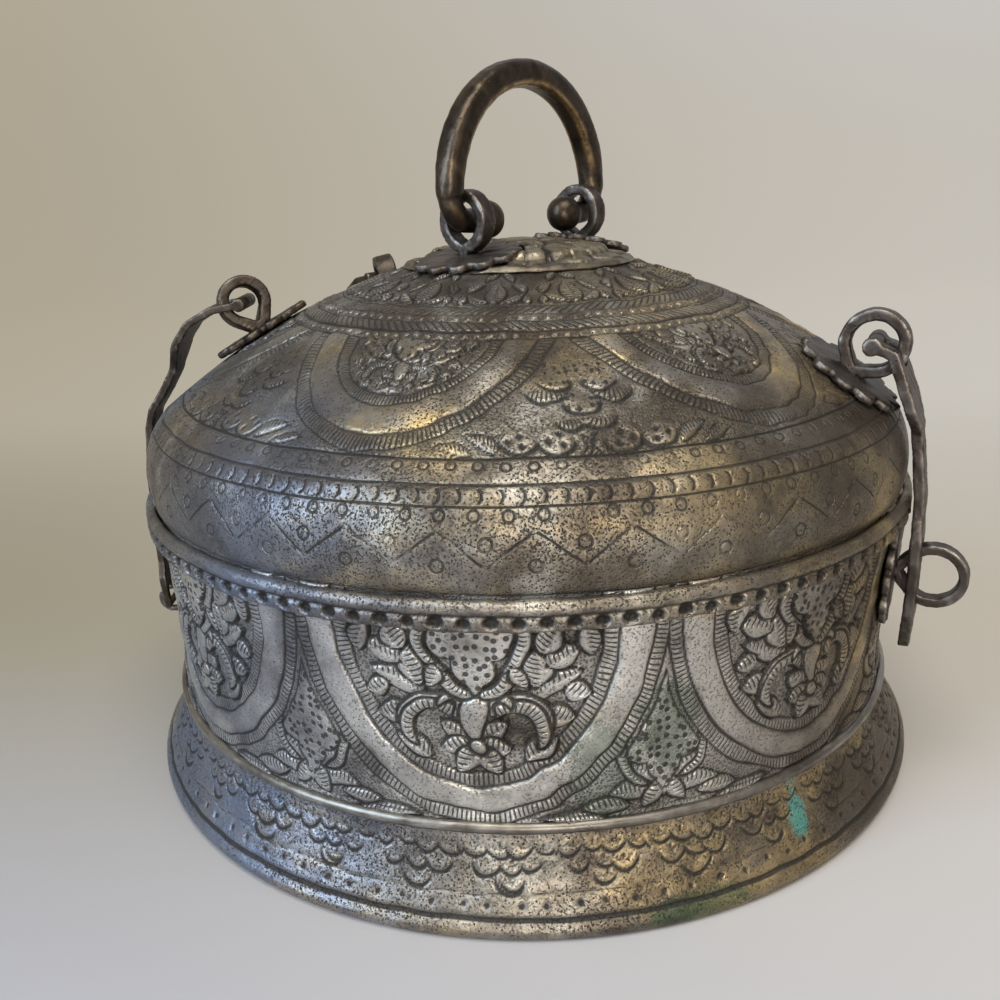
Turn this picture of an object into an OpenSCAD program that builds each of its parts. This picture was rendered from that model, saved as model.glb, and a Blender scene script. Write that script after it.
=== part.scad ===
/* [Foot] */
// Radius of the foot's rolled rim, the widest ring of the box
foot_r = 125; // [123:0.5:130]
// Height of the flared foot skirt, up to the floor plate
foot_h = 26; // [24:0.5:30]
// Radius of the roll round the foot's edge
roll_r = 2.6; // [2.2:0.1:3]
// Radius of the wire inside that roll
wire_r = 1.5; // [1:0.1:1.7]

/* [Body] */
// Radius of the drum at its waist
drum_r = 114.5; // [113.5:0.25:115.5]
// How much wider the drum is at its top than at its waist
drum_flare = 2.5; // [1:0.25:3]
// Height of the drum wall above the foot skirt
drum_h = 61; // [60.5:0.25:62]
// Thickness of the beaten sheet
sheet = 1.4; // [1.2:0.1:1.6]
// Height of the collar band round the drum's mouth
collar_h = 8; // [7.5:0.25:8.5]
// How far the collar stands out from the drum's top
collar_out = 3; // [2:0.25:3.25]
// Number of dimples punched into the collar
dimples = 118; // [60:1:130]
// Radius of the ball punch that made the dimples
punch_r = 1.9; // [1.5:0.1:2]
// How far the mouth ring stands up inside the lid
neck_h = 4.5; // [3:0.25:5]

/* [Lid] */
// How far the lid's wall bulges beyond the drum's waist
lid_bulge = 3.7; // [3.3:0.1:4.5]
// Height of the lid's wall, from its edge to the shoulder crease
wall_h = 22.6; // [22:0.2:23.5]
// Rise of the dome from the shoulder crease to the crown
dome_h = 38.8; // [37:0.2:40]
// Gap between the closed lid and the drum's edge
lid_gap = 0.4; // [0.4:0.05:0.6]
// Radius of the crown boss
boss_r = 36; // [35.5:0.1:36.5]
// Radius of the crown boss's upper step
boss_step_r = 27.5; // [26:0.25:28]
// Height of each of the boss's two steps
boss_step_h = 2.6; // [2.2:0.1:3]

/* [Rosettes and split pins] */
// Radius of a rosette plate, without its lobes
rosette_r = 14; // [12:0.5:15]
// Number of lobes round a rosette plate
lobes = 12; // [8:1:16]
// Radius of one lobe
lobe_r = 3; // [2:0.25:3.25]
// Thickness of a rosette plate
plate_t = 2.2; // [1.8:0.1:2.4]
// Thickness of the strip that a split pin is folded from
pin_t = 2.8; // [2.4:0.1:3]
// Width of that strip
pin_w = 5; // [4.5:0.25:5.5]
// Length of a split pin's clenched leg
leg_l = 9; // [6:0.5:11]

/* [Handle] */
// Distance between the two eyes that hold the handle
eye_gap = 55; // [54:0.25:55.5]
// How far the pair of eyes sits off the lid's axis
handle_shift = 4.5; // [4:0.25:4.75]
// Turn of the handle's axis from the hinge axis
handle_turn = 14.5; // [0:0.5:20]
// Height of the handle's axis above the collar's top
handle_z = 76.4; // [76:0.1:77]
// Radius of the handle's round bar
bar_r = 4.1; // [3.5:0.1:4.3]
// Radius of the arch, at the middle of the bar
arch_r = 34.2; // [34.2:0.1:36]
// Radius of the ball on each end of the handle
ball_r = 5.6; // [5:0.1:5.8]
// Outer radius of a handle eye
handle_eye_r = 8.7; // [8.3:0.1:8.8]

/* [Hasp] */
// Thickness of the hasp
hasp_t = 3.2; // [2.6:0.1:3.4]
// Width of the hasp's bar
hasp_w = 9; // [8:0.25:11]
// Width of the hasp round its slot
hasp_slot_w = 13.5; // [12.5:0.25:15]
// Outer radius of the eye that the hasp hangs in
hasp_eye_r = 9.2; // [8.8:0.1:9.3]
// Outer radius of the staple that the hasp closes over
staple_r = 9.4; // [9:0.1:9.6]
// Height of the staple above the foot's lower edge
staple_z = 64; // [63:0.25:65]
// How far the hasp's plate sits in from the lid's widest ring
hasp_in = 17.8; // [17:0.1:18.5]

/* [Hinges] */
// Angle of each hinge from the back of the box
hinge_angle = 28.5; // [27:0.5:29]
// Thickness of a hinge strap
strap_t = 2.4; // [2:0.1:2.6]
// Width of a hinge strap
strap_w = 11; // [9:0.5:12]
// Outer radius of the eye on the lid that a strap hooks
hinge_eye_r = 7.9; // [7.6:0.1:8.2]
// Outer radius of the low staple that holds a strap's foot
hinge_staple_r = 5; // [4.9:0.05:5.2]
// Height of those staples above the foot's lower edge
hinge_foot_z = 41.5; // [41:0.5:46]
// How far a hinge's plate sits in from the lid's widest ring
hinge_in = 36.7; // [36:0.1:37.5]

/* [Tray and cups] */
// Room between the lift-out tray and the lip round it
tray_gap = 2.5; // [2:0.1:3.2]
// Height of the tray's raised edge
tray_edge = 6; // [4:0.5:8]
// Room between the ring cups' flanges and the tray's edge
rim_room = 10; // [8:0.5:14]
// Half the gap between the flanges of two cups
cup_gap = 3.3; // [2.5:0.1:5]
// Depth of a cup
cup_h = 32; // [26:0.5:36]
// Width of a cup's flange beyond its body
flange = 3.2; // [2.5:0.1:3.5]
// Thickness of the tray's and the cups' sheet
thin = 1.2; // [1:0.1:1.4]

/* [Hidden] */
$fn = 96;

// Colours: tinned brass, worn brass, and the forged hardware
tin = "#8b857b";
tin_inside = "#9a948a";
worn = "#a8925f";
iron = "#5d5650";
bronze = "#6b5233";

// Clearances: pieces soldered face to face, loose pieces, and a pin in its hole
seam = 0.05;
loose = 0.4;
hole_gap = 0.3;
tiny = 0.01;
far = 200;
through = 60;

// Heights of the body's stages above the foot's lower face
drum_z = foot_h;
drum_top_z = drum_z + drum_h;
collar_z = drum_top_z - collar_h;
collar_top_z = drum_top_z - 0.3;
lid_z = drum_top_z + lid_gap;
shoulder_z = lid_z + wall_h;
boss_z = shoulder_z + dome_h;
drum_top_r = drum_r + drum_flare;
collar_r = drum_top_r + collar_out;
foot_flat = 0.2;
roll_c = [foot_r - roll_r, roll_r - foot_flat];
floor_t = 1.6;
flange_in = 4;

// Curve through four control points, and the same curve as a list of points
function bez(p, t) = pow(1 - t, 3) * p[0] + 3 * t * pow(1 - t, 2) * p[1] + 3 * t * t * (1 - t) * p[2]
    + pow(t, 3) * p[3];
function curve(p, n) = [for (i = [0:n]) bez(p, i / n)];
// A line of points, moved sideways by d: positive goes to the right of its direction
function tangent(p, i) = let (d = p[min(i + 1, len(p) - 1)] - p[max(i - 1, 0)]) d / norm(d);
function shifted(p, d) = [for (i = [0:len(p) - 1]) let (t = tangent(p, i))
    [max(0, p[i][0] + d * t[1]), p[i][1] - d * t[0]]];
function backwards(p) = [for (i = [len(p) - 1:-1:0]) p[i]];
function sheet_of(p, t) = concat(p, backwards(shifted(p, -t)));

// Outside of the foot, the drum and the lid, as radius and height
foot_line = curve([[foot_r - 0.9, 2 * roll_r - 0.6], [foot_r - 4.5, 11], [drum_r + 1.4, 19],
    [drum_r + 0.7, drum_z]], 10);
drum_line = curve([[drum_r + 0.7, drum_z], [drum_r - 0.6, drum_z + 0.33 * drum_h],
    [drum_r, drum_z + 0.6 * drum_h], [drum_top_r, drum_top_z]], 12);
lid_r = drum_r + lid_bulge;
shoulder_r = lid_r - 5.6;
lid_edge_r = lid_r - 1.2;
wall_line = curve([[lid_edge_r, lid_z], [lid_r + 0.9, lid_z + 4], [lid_r + 0.6, lid_z + 0.69 * wall_h],
    [shoulder_r, shoulder_z]], 12);
dome_line = curve([[shoulder_r, shoulder_z], [0.694 * lid_r, shoulder_z + 0.6 * dome_h],
    [0.558 * lid_r, shoulder_z + 0.76 * dome_h], [boss_r + 0.5, boss_z]], 16);
cap_line = curve([[boss_r + 0.5, boss_z], [boss_r * 2 / 3, boss_z + 3.4], [boss_r / 3, boss_z + 4.2], [0, boss_z + 4.2]], 5);
function tail(p) = [for (i = [1:len(p) - 1]) p[i]];
lid_line = concat(wall_line, tail(dome_line), tail(cap_line));
top_line = concat(dome_line, tail(cap_line));
inner_top_line = shifted(top_line, -sheet);

function height_on(line, r) = lookup(r, line);
function lean_at(r) = let (e = 4) atan2(height_on(top_line, r - e) - height_on(top_line, r + e), 2 * e);

// Where the hardware stands: azimuth from the front, radius, height and lean of its seat
hasp_seat_r = lid_r - hasp_in;
hinge_seat_r = lid_r - hinge_in;
hasp_lean = lean_at(hasp_seat_r);
hinge_lean = lean_at(hinge_seat_r);
hasp_lift = 9.4;
hinge_lift = 8.8;
staple_lift = 10;
foot_lift = 4.7;
function seat(r) = [r, height_on(top_line, r)];
function above(r, lean, d) = seat(r) + (d + plate_t + seam) * [sin(lean), cos(lean)];
hasp_pivot = above(hasp_seat_r, hasp_lean, hasp_lift);
hinge_pivot = above(hinge_seat_r, hinge_lean, hinge_lift);
wall_seat_r = drum_r + 0.7;
staple_seat_r = drum_r + 1.05;
staple_lean = 3.2;
foot_pin_w = 2.2;
foot_pin_t = 1.8;
bead_r = 1.5;
strap_foot = [wall_seat_r + plate_t + foot_lift, hinge_foot_z];
strap_pin_r = 1.2;
link_pin_r = 2.1;
hinge_az = [180 + hinge_angle, 180 - hinge_angle];

// The handle's axis, and the height of its two seats
axis_z = collar_top_z + handle_z;
left_eye_s = eye_gap / 2 - handle_shift;
right_eye_s = -eye_gap / 2 - handle_shift;
step_z = boss_z + boss_step_h;
top_step_z = step_z + boss_step_h;
boss_top_z = top_step_z + 3;
handle_seat_z = boss_z + 2.95;
// Each of its plates leans so that its outer edge stays clear of the dome
lobe_in = 0.4;
plate_reach = rosette_r - lobe_in + lobe_r;
function plate_lean(s, room) = asin((handle_seat_z + seam - room - height_on(top_line, abs(s) + plate_reach))
    / plate_reach);
left_lean = plate_lean(left_eye_s, 1.1);
right_lean = plate_lean(right_eye_s, 2.9);
bend_r = 7;
ball_in = pin_w / 2 + ball_r + 0.3;

// Stands its children on a seat: Z along the seat's normal, Y up the slope
module on_seat(az, r, z, lean) {
    rotate([0, 0, az]) translate([0, -r, z]) rotate([lean, 0, 0]) children();
}
module on_lid(az, r) {
    on_seat(az, r, height_on(top_line, r), lean_at(r)) children();
}
module at_staple() {
    on_seat(0, staple_seat_r, staple_z, 90 + staple_lean) children();
}
module at_hinge_foot(az) {
    on_seat(az, wall_seat_r, hinge_foot_z, 90) children();
}
// Turns its children so that X runs along the handle's axis, from right to left
module along_handle() {
    rotate([0, 0, 180 - handle_turn]) children();
}
module spun(points) {
    rotate_extrude() polygon(points);
}

// A scalloped plate, and one with the slot that its split pin goes through
module scallops(r, lobe) {
    linear_extrude(plate_t) {
        circle(r = r);
        for (i = [0:lobes - 1]) rotate(i * 360 / lobes) translate([r - lobe_in, 0]) circle(r = lobe);
    }
}
module rosette() {
    difference() {
        scallops(rosette_r, lobe_r);
        pin_hole(pin_w, pin_t);
    }
}
module pin_hole(w, l) {
    cube([w + 2 * hole_gap, l + 2 * hole_gap, through], center = true);
}
// Outline of a folded eye: a ring whose sides run down to a foot of half-width f
module drop(r, f, down) {
    d = norm([f, down]);
    turn = atan2(-down, f) + acos(r / d);
    intersection() {
        union() {
            circle(r = r);
            polygon([r * [cos(turn), sin(turn)], [f, -down], [-f, -down], r * [-cos(turn), sin(turn)]]);
        }
        translate([-far, -down]) square([2 * far, far]);
    }
}
// A split pin: its eye stands up to Z with the hole along X, its legs are clenched under the sheet
module split_pin(r, t, w, lift, grip) {
    leg_t = t / 2;
    translate([0, 0, lift]) rotate([90, 0, 90]) linear_extrude(w, center = true) difference() {
        drop(r, t + 0.3, lift);
        drop(r - t, 0.1, lift - 1.6);
    }
    translate([-w / 2, -t / 2, -grip - leg_t]) cube([w, t, grip + leg_t + 1.2]);
    for (side = [-1, 1]) translate([-w / 2, side > 0 ? 0 : -leg_l, -grip - leg_t]) cube([w, leg_l, leg_t]);
}
// A low staple, cut off at its plate, with the same legs
module low_staple(r, t, w, lift, grip) {
    leg_t = t / 2;
    intersection() {
        translate([0, 0, lift]) rotate([90, 0, 90]) linear_extrude(w, center = true)
            difference() {
                drop(r, r - 0.4, lift + 1);
                circle(r = r - t);
            }
        translate([-far / 2, -far / 2, 0]) cube([far, far, far]);
    }
    translate([-w / 2, -t / 2, -grip - leg_t]) cube([w, t, grip + leg_t + 0.6]);
    for (side = [-1, 1]) translate([-w / 2, side > 0 ? 0 : -leg_l, -grip - leg_t]) cube([w, leg_l, leg_t]);
}

// --- Foot and body ---
module foot_skirt() color(tin) {
    difference() {
        union() {
            spun(sheet_of(foot_line, sheet));
            rotate_extrude() translate(roll_c) circle(r = roll_r, $fn = 32);
        }
        rotate_extrude() translate(roll_c) circle(r = wire_r + seam, $fn = 32);
        translate([0, 0, -far]) cylinder(r = far, h = far);
    }
}
module foot_rim_wire() color(iron) {
    rotate_extrude() translate(roll_c) circle(r = wire_r, $fn = 32);
}
module floor_plate() color(tin_inside) {
    r = drum_r + 0.7 - sheet - seam - 0.35;
    spun([[0, drum_z - floor_t], [r, drum_z - floor_t], [r, drum_z + flange_in],
        [r - thin, drum_z + flange_in], [r - thin, drum_z], [0, drum_z]]);
}
module body_drum() color(tin) {
    difference() {
        spun(sheet_of(drum_line, sheet));
        at_staple() pin_hole(pin_w, pin_t);
        for (az = hinge_az) at_hinge_foot(az) pin_hole(foot_pin_w, foot_pin_t);
    }
}
module waist_bead() color(worn) {
    rotate_extrude() difference() {
        translate([drum_r + 0.7 + seam + 0.5, drum_z]) circle(r = bead_r, $fn = 32);
        translate([0, drum_z - 2 * bead_r]) square([drum_r + 0.7 + 3 * seam + 0.15, 4 * bead_r]);
    }
}
// The punched band, with the smooth rolled bead on top of it
module collar_band() color(worn) {
    bead = 2.1;
    inner = drum_top_r + seam;
    difference() {
        rotate_extrude() difference() {
            union() {
                polygon([[inner - 1, collar_z], [collar_r - 1.6, collar_z], [collar_r, collar_z + 1.6],
                    [collar_r, collar_top_z - bead], [inner, collar_top_z - bead]]);
                translate([collar_r - bead, collar_top_z - bead]) circle(r = bead, $fn = 32);
            }
            polygon(concat(shifted(drum_line, seam), [[0, drum_top_z], [0, drum_z]]));
        }
        // beaten flat under the staple's plate
        at_staple() cylinder(r = rosette_r + lobe_r, h = 3 * collar_out);
        for (i = [0:dimples - 1]) rotate([0, 0, (i + 0.5) * 360 / dimples])
            translate([0, -collar_r - 0.9, collar_z + 2.6]) sphere(r = punch_r, $fn = 24);
    }
}
// Soldered inside the drum's mouth: the ledge that carries the tray, and the lip inside the lid
neck_r = lid_edge_r - sheet - 1.7;
ledge_z = collar_z - 1.5;
ledge_in = 4.5;
// The tray fits the lip, and its seven cups fill it: six round one, all as far from each other
tray_r = neck_r - thin - tray_gap;
cup_pitch_r = (tray_r - rim_room + cup_gap) * 2 / 3;
cup_r = cup_pitch_r / 2 - flange - cup_gap;
module mouth_ring() color(tin_inside) {
    wall = drum_top_r - sheet - 1.1;
    spun([[tray_r - ledge_in, ledge_z - thin], [wall, ledge_z - thin], [wall, ledge_z],
        [neck_r, ledge_z], [neck_r, lid_z + neck_h], [neck_r - thin, lid_z + neck_h],
        [neck_r - thin, ledge_z], [tray_r - ledge_in, ledge_z]]);
}

// --- Lid ---
module handle_seats() {
    along_handle() {
        translate([left_eye_s, 0, axis_z]) pin_hole(pin_w, pin_t);
        translate([right_eye_s, 0, axis_z]) pin_hole(pin_w, pin_t);
    }
}
module lid_shell() color(tin) {
    difference() {
        spun(sheet_of(lid_line, sheet));
        on_lid(0, hasp_seat_r) pin_hole(pin_w, pin_t);
        for (az = hinge_az) on_lid(az, hinge_seat_r) pin_hole(pin_w, pin_t);
        handle_seats();
    }
}
// The boss is beaten flat under each of the handle's plates
module on_boss(s, lean) {
    along_handle() translate([s, 0, handle_seat_z]) rotate([0, sign(s) * lean, 0]) children();
}
module crown_boss() color(worn) {
    round_r = 1.2;
    low = [for (p = shifted(cap_line, seam)) if (p[0] < boss_r && p[0] > round_r) p];
    difference() {
        spun(concat([[boss_r, boss_z + seam + 0.3]], low, [[0, boss_z + 4.2 + seam], [0, boss_top_z], [boss_step_r * 0.5, boss_top_z - 0.8],
            [boss_step_r - round_r, top_step_z], [boss_step_r, top_step_z - round_r],
            [boss_step_r, step_z + 0.4], [boss_r - round_r, step_z], [boss_r, step_z - round_r]]));
        handle_seats();
        on_boss(left_eye_s, left_lean) cylinder(r = rosette_r + lobe_r, h = 20);
        on_boss(right_eye_s, right_lean) cylinder(r = rosette_r + lobe_r, h = 20);
    }
}

// --- Handle ---
module handle_rosette(s, lean) {
    difference() {
        on_boss(s, lean) translate([0, 0, seam]) scallops(rosette_r, lobe_r);
        handle_seats();
    }
}
module handle_eye(s) {
    under = height_on(inner_top_line, abs(s) + 5) - 0.3;
    lift = axis_z - handle_seat_z - plate_t - 0.75;
    along_handle() translate([s, 0, axis_z - lift]) split_pin(handle_eye_r, pin_t, pin_w, lift,
        axis_z - lift - under);
}
module handle_rosette_left() color(iron) handle_rosette(left_eye_s, left_lean);
module handle_rosette_right() color(iron) handle_rosette(right_eye_s, right_lean);
module handle_eye_left() color(iron) handle_eye(left_eye_s);
module handle_eye_right() color(iron) handle_eye(right_eye_s);
module handle() color(bronze) {
    along_handle() translate([-handle_shift, 0, axis_z]) for (side = [-1, 1]) {
        foot_s = eye_gap / 2 - ball_in;
        bend_s = arch_r - bend_r;
        translate([side * foot_s, 0, 0]) sphere(r = ball_r);
        translate([side * (foot_s + bend_s) / 2, 0, 0]) rotate([0, 90, 0])
            cylinder(r = bar_r - 0.6, h = bend_s - foot_s + 2 * tiny, center = true);
        translate([side * bend_s, 0, bend_r]) rotate([90, 0, 0]) rotate([0, 0, side > 0 ? -90 : 180])
            rotate_extrude(angle = 90) translate([bend_r, 0]) circle(r = bar_r - 0.6);
        translate([0, 0, bend_r]) rotate([90, 0, 0]) rotate([0, 0, side > 0 ? 0 : 90])
            rotate_extrude(angle = 90) translate([arch_r, 0]) circle(r = bar_r);
    }
}

// --- Hasp and staple ---
// A bent strip that hangs in eyes: its side outline p, its thickness, and its front outline
module strip(p, t) {
    rotate([90, 0, 90]) linear_extrude(through, center = true)
        mirror([1, 0]) polygon(concat(shifted(p, t / 2), backwards(shifted(p, -t / 2))));
}
// Room for an eye's ring inside the strip's own eye, and the pin across it
module link_room(c, room_r, w) {
    translate([0, -c[0], c[1]]) rotate([0, 90, 0]) cylinder(r = room_r, h = w, center = true);
}
module link_pin(c, r, w) {
    translate([0, -c[0], c[1]]) rotate([0, 90, 0]) cylinder(r = r, h = w, center = true);
}
module front_outline() {
    rotate([90, 0, 0]) linear_extrude(2 * far, center = true) children();
}
slot_low = staple_z - staple_r - 2.1;
slot_high = staple_z + staple_r + 1;
link_w = 18;
hasp_line = [hasp_pivot, hasp_pivot + [5.6, -2.2], [lid_r - 1.2, shoulder_z + 5], [lid_r + 1.7, lid_z + 19],
    [lid_r + 2.9, lid_z + 10], [collar_r + 2.4, lid_z - 1], [collar_r + 2.7, staple_z + 10],
    [collar_r + 2.6, staple_z - 10], [collar_r + 1.8, staple_z - 24.5]];
module hasp() color(iron) {
    tip_z = staple_z - 24;
    tip_r = 3.6;
    neck_z = hasp_pivot[1] - 17;
    difference() {
        intersection() {
            strip(hasp_line, hasp_t);
            front_outline() {
                translate([-link_w / 2, neck_z]) square([link_w, far]);
                polygon([[-link_w / 2, neck_z + tiny], [link_w / 2, neck_z + tiny], [hasp_w / 2, neck_z - 7],
                    [hasp_w / 2, slot_high + 6], [hasp_slot_w / 2, slot_high], [hasp_slot_w / 2, slot_low],
                    [tip_r, tip_z + tip_r], [-tip_r, tip_z + tip_r], [-hasp_slot_w / 2, slot_low],
                    [-hasp_slot_w / 2, slot_high], [-hasp_w / 2, slot_high + 6], [-hasp_w / 2, neck_z - 7]]);
                translate([0, tip_z + tip_r]) circle(r = tip_r);
            }
        }
        link_room(hasp_pivot, hasp_eye_r + 1, pin_w + 2);
        front_outline() translate([-(pin_w + 1.2) / 2, slot_low]) square([pin_w + 1.2, slot_high - slot_low]);
    }
    link_pin(hasp_pivot, link_pin_r, link_w);
    for (side = [-1, 1]) translate([side * (pin_w + 2 + link_w) / 4, 0, 0])
        link_pin(hasp_pivot, link_pin_r + 0.4, (link_w - pin_w - 2) / 2);
}
module hasp_rosette() color(iron) on_lid(0, hasp_seat_r) translate([0, 0, seam]) rosette();
module hasp_eye() color(iron) on_lid(0, hasp_seat_r) translate([0, 0, plate_t + 2 * seam])
    split_pin(hasp_eye_r, pin_t, pin_w, hasp_lift - seam, plate_t + 2 * seam + sheet + 0.6);
module staple_rosette() color(iron) at_staple() translate([0, 0, seam]) rosette();
module staple() color(iron) at_staple() translate([0, 0, plate_t + 2 * seam])
    split_pin(staple_r, pin_t, pin_w, staple_lift, plate_t + 2 * seam + sheet + 0.9);

// --- Hinges ---
foot_rosette_r = 9.6;
foot_lobe_r = 2.2;
strap_slot = 11;
strap_line = [strap_foot, strap_foot + [0.6, 9], strap_foot + [0.9, 24], [collar_r + 2.3, collar_z + 1],
    [collar_r + 2.3, lid_z], [lid_r + 2.9, lid_z + 8], [lid_r + 2.2, lid_z + 15], [lid_r + 0.6, lid_z + 20.5],
    [lid_r - 3.8, shoulder_z + 4], [lid_r - 7.8, shoulder_z + 10.5], hinge_pivot + [20.5, -11],
    hinge_pivot + [16.5, -5.5], hinge_pivot + [9, -1.4], hinge_pivot];
module hinge_strap(az) {
    high_z = hinge_pivot[1] - 13;
    low_z = hinge_foot_z + 10;
    half = strap_w / 2;
    wide = strap_slot / 2 + 3.6;
    foot_wide = strap_slot / 2 + 1.8;
    rotate([0, 0, az]) {
        difference() {
            intersection() {
                strip(strap_line, strap_t);
                front_outline() polygon([[-foot_wide, 0], [foot_wide, 0], [foot_wide, low_z], [half, low_z + 5],
                    [half, high_z - 6], [wide, high_z], [wide, far], [-wide, far], [-wide, high_z],
                    [-half, high_z - 6], [-half, low_z + 5], [-foot_wide, low_z]]);
            }
            link_room(hinge_pivot, hinge_eye_r + 1, strap_slot);
            link_room(strap_foot, hinge_staple_r + 0.9, strap_slot);
        }
        link_pin(hinge_pivot, link_pin_r, 2 * wide);
        link_pin(strap_foot, strap_pin_r, 2 * foot_wide);
    }
}
module hinge_strap_left() color(iron) hinge_strap(hinge_az[0]);
module hinge_strap_right() color(iron) hinge_strap(hinge_az[1]);
module hinge_rosette(az) on_lid(az, hinge_seat_r) translate([0, 0, seam]) rosette();
module hinge_rosette_left() color(iron) hinge_rosette(hinge_az[0]);
module hinge_rosette_right() color(iron) hinge_rosette(hinge_az[1]);
module hinge_eye(az) on_lid(az, hinge_seat_r) translate([0, 0, plate_t + 2 * seam])
    split_pin(hinge_eye_r, pin_t, pin_w, hinge_lift - seam, plate_t + 2 * seam + sheet + 0.6);
module hinge_eye_left() color(iron) hinge_eye(hinge_az[0]);
module hinge_eye_right() color(iron) hinge_eye(hinge_az[1]);
module hinge_foot_rosette(az) at_hinge_foot(az) translate([0, 0, seam]) difference() {
    scallops(foot_rosette_r, foot_lobe_r);
    pin_hole(foot_pin_w, foot_pin_t);
}
module hinge_foot_rosette_left() color(iron) hinge_foot_rosette(hinge_az[0]);
module hinge_foot_rosette_right() color(iron) hinge_foot_rosette(hinge_az[1]);
module hinge_staple(az) at_hinge_foot(az) translate([0, 0, plate_t + 2 * seam])
    low_staple(hinge_staple_r, foot_pin_t, foot_pin_w, foot_lift - 2 * seam, plate_t + 2 * seam + sheet + 0.8);
module hinge_staple_left() color(iron) hinge_staple(hinge_az[0]);
module hinge_staple_right() color(iron) hinge_staple(hinge_az[1]);

// --- Tray and cups ---
tray_z = ledge_z + 0.3;
tray_top = tray_z + thin;
module cup_places() {
    children();
    for (i = [0:5]) rotate([0, 0, i * 60]) translate([0, -cup_pitch_r, 0]) children();
}
module tray() color(tin_inside) {
    difference() {
        spun([[0, tray_z], [tray_r, tray_z], [tray_r, tray_top + tray_edge], [tray_r - thin, tray_top + tray_edge],
            [tray_r - thin, tray_top], [0, tray_top]]);
        cup_places() translate([0, 0, tray_z - 1]) cylinder(r = cup_r + loose, h = thin + 2);
    }
}
cup_lift = 0.3;
cup_round = 3;
module cup() {
    z = tray_top + cup_lift;
    base = z - cup_h;
    turn_in = cup_round + thin / 3;
    spun([[0, base], [cup_r - cup_round, base], [cup_r, base + cup_round], [cup_r, z], [cup_r + flange, z],
        [cup_r + flange, z + thin], [cup_r - thin, z + thin], [cup_r - thin, base + turn_in],
        [cup_r - turn_in, base + thin], [0, base + thin]]);
}
cup_lid_over = 1.5;
plug_h = 2.5;
crown_h = 3.2;
knob_r = 3.2;
stem_r = 1.8;
stem_fillet = 0.2;
stem_h = 5.4;
module cup_lid() {
    z = tray_top + 2 * cup_lift + thin;
    r = cup_r + cup_lid_over;
    plug = cup_r - thin - loose;
    spun([[0, z], [plug - thin, z], [plug - thin, z - plug_h], [plug, z - plug_h], [plug, z], [r, z], [r, z + thin],
        [cup_r * 0.6, z + crown_h], [stem_r + stem_fillet, z + crown_h + 3 * stem_fillet], [stem_r, z + stem_h],
        [0, z + stem_h]]);
    translate([0, 0, z + stem_h + 0.6 * knob_r]) sphere(r = knob_r, $fn = 32);
}
module ring_place(i) {
    rotate([0, 0, i * 60]) translate([0, -cup_pitch_r, 0]) children();
}
module cup_centre() color(tin_inside) cup();
module cup_1() color(tin_inside) ring_place(0) cup();
module cup_2() color(tin_inside) ring_place(1) cup();
module cup_3() color(tin_inside) ring_place(2) cup();
module cup_4() color(tin_inside) ring_place(3) cup();
module cup_5() color(tin_inside) ring_place(4) cup();
module cup_6() color(tin_inside) ring_place(5) cup();
module cup_lid_centre() color(worn) cup_lid();
module cup_lid_1() color(worn) ring_place(0) cup_lid();
module cup_lid_2() color(worn) ring_place(1) cup_lid();
module cup_lid_3() color(worn) ring_place(2) cup_lid();
module cup_lid_4() color(worn) ring_place(3) cup_lid();
module cup_lid_5() color(worn) ring_place(4) cup_lid();
module cup_lid_6() color(worn) ring_place(5) cup_lid();

foot_skirt();
foot_rim_wire();
floor_plate();
body_drum();
waist_bead();
collar_band();
mouth_ring();
lid_shell();
crown_boss();
handle();
handle_rosette_left();
handle_rosette_right();
handle_eye_left();
handle_eye_right();
hasp();
hasp_rosette();
hasp_eye();
staple_rosette();
staple();
hinge_strap_left();
hinge_strap_right();
hinge_rosette_left();
hinge_rosette_right();
hinge_eye_left();
hinge_eye_right();
hinge_foot_rosette_left();
hinge_foot_rosette_right();
hinge_staple_left();
hinge_staple_right();
tray();
cup_centre();
cup_1();
cup_2();
cup_3();
cup_4();
cup_5();
cup_6();
cup_lid_centre();
cup_lid_1();
cup_lid_2();
cup_lid_3();
cup_lid_4();
cup_lid_5();
cup_lid_6();
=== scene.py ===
import bpy
import bmesh
import math
import numpy as np
from mathutils import Matrix, Vector


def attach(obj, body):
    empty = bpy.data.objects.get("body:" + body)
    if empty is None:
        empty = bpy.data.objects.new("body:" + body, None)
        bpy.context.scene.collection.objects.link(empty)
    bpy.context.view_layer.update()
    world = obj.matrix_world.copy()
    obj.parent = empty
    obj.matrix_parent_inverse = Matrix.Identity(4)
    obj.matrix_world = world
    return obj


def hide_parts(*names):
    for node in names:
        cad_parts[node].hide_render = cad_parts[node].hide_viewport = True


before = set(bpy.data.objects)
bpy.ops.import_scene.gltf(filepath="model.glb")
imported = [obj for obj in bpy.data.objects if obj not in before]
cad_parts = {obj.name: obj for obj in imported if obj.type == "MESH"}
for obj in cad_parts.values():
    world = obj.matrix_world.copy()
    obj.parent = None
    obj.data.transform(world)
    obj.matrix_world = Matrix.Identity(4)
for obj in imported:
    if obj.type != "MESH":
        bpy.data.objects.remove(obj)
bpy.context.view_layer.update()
scene = bpy.context.scene
mm = 0.001
# the photograph was taken from this many degrees to the left of the hasp
turn = 64.5

# numbers shared by the sheet pieces, in millimetres: the same curves as the solids
def bezier(p, n=60):
    t = np.linspace(0, 1, n + 1)[:, None]
    p = np.array(p, float)
    return (1 - t) ** 3 * p[0] + 3 * t * (1 - t) ** 2 * p[1] + 3 * t * t * (1 - t) * p[2] + t ** 3 * p[3]

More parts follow.
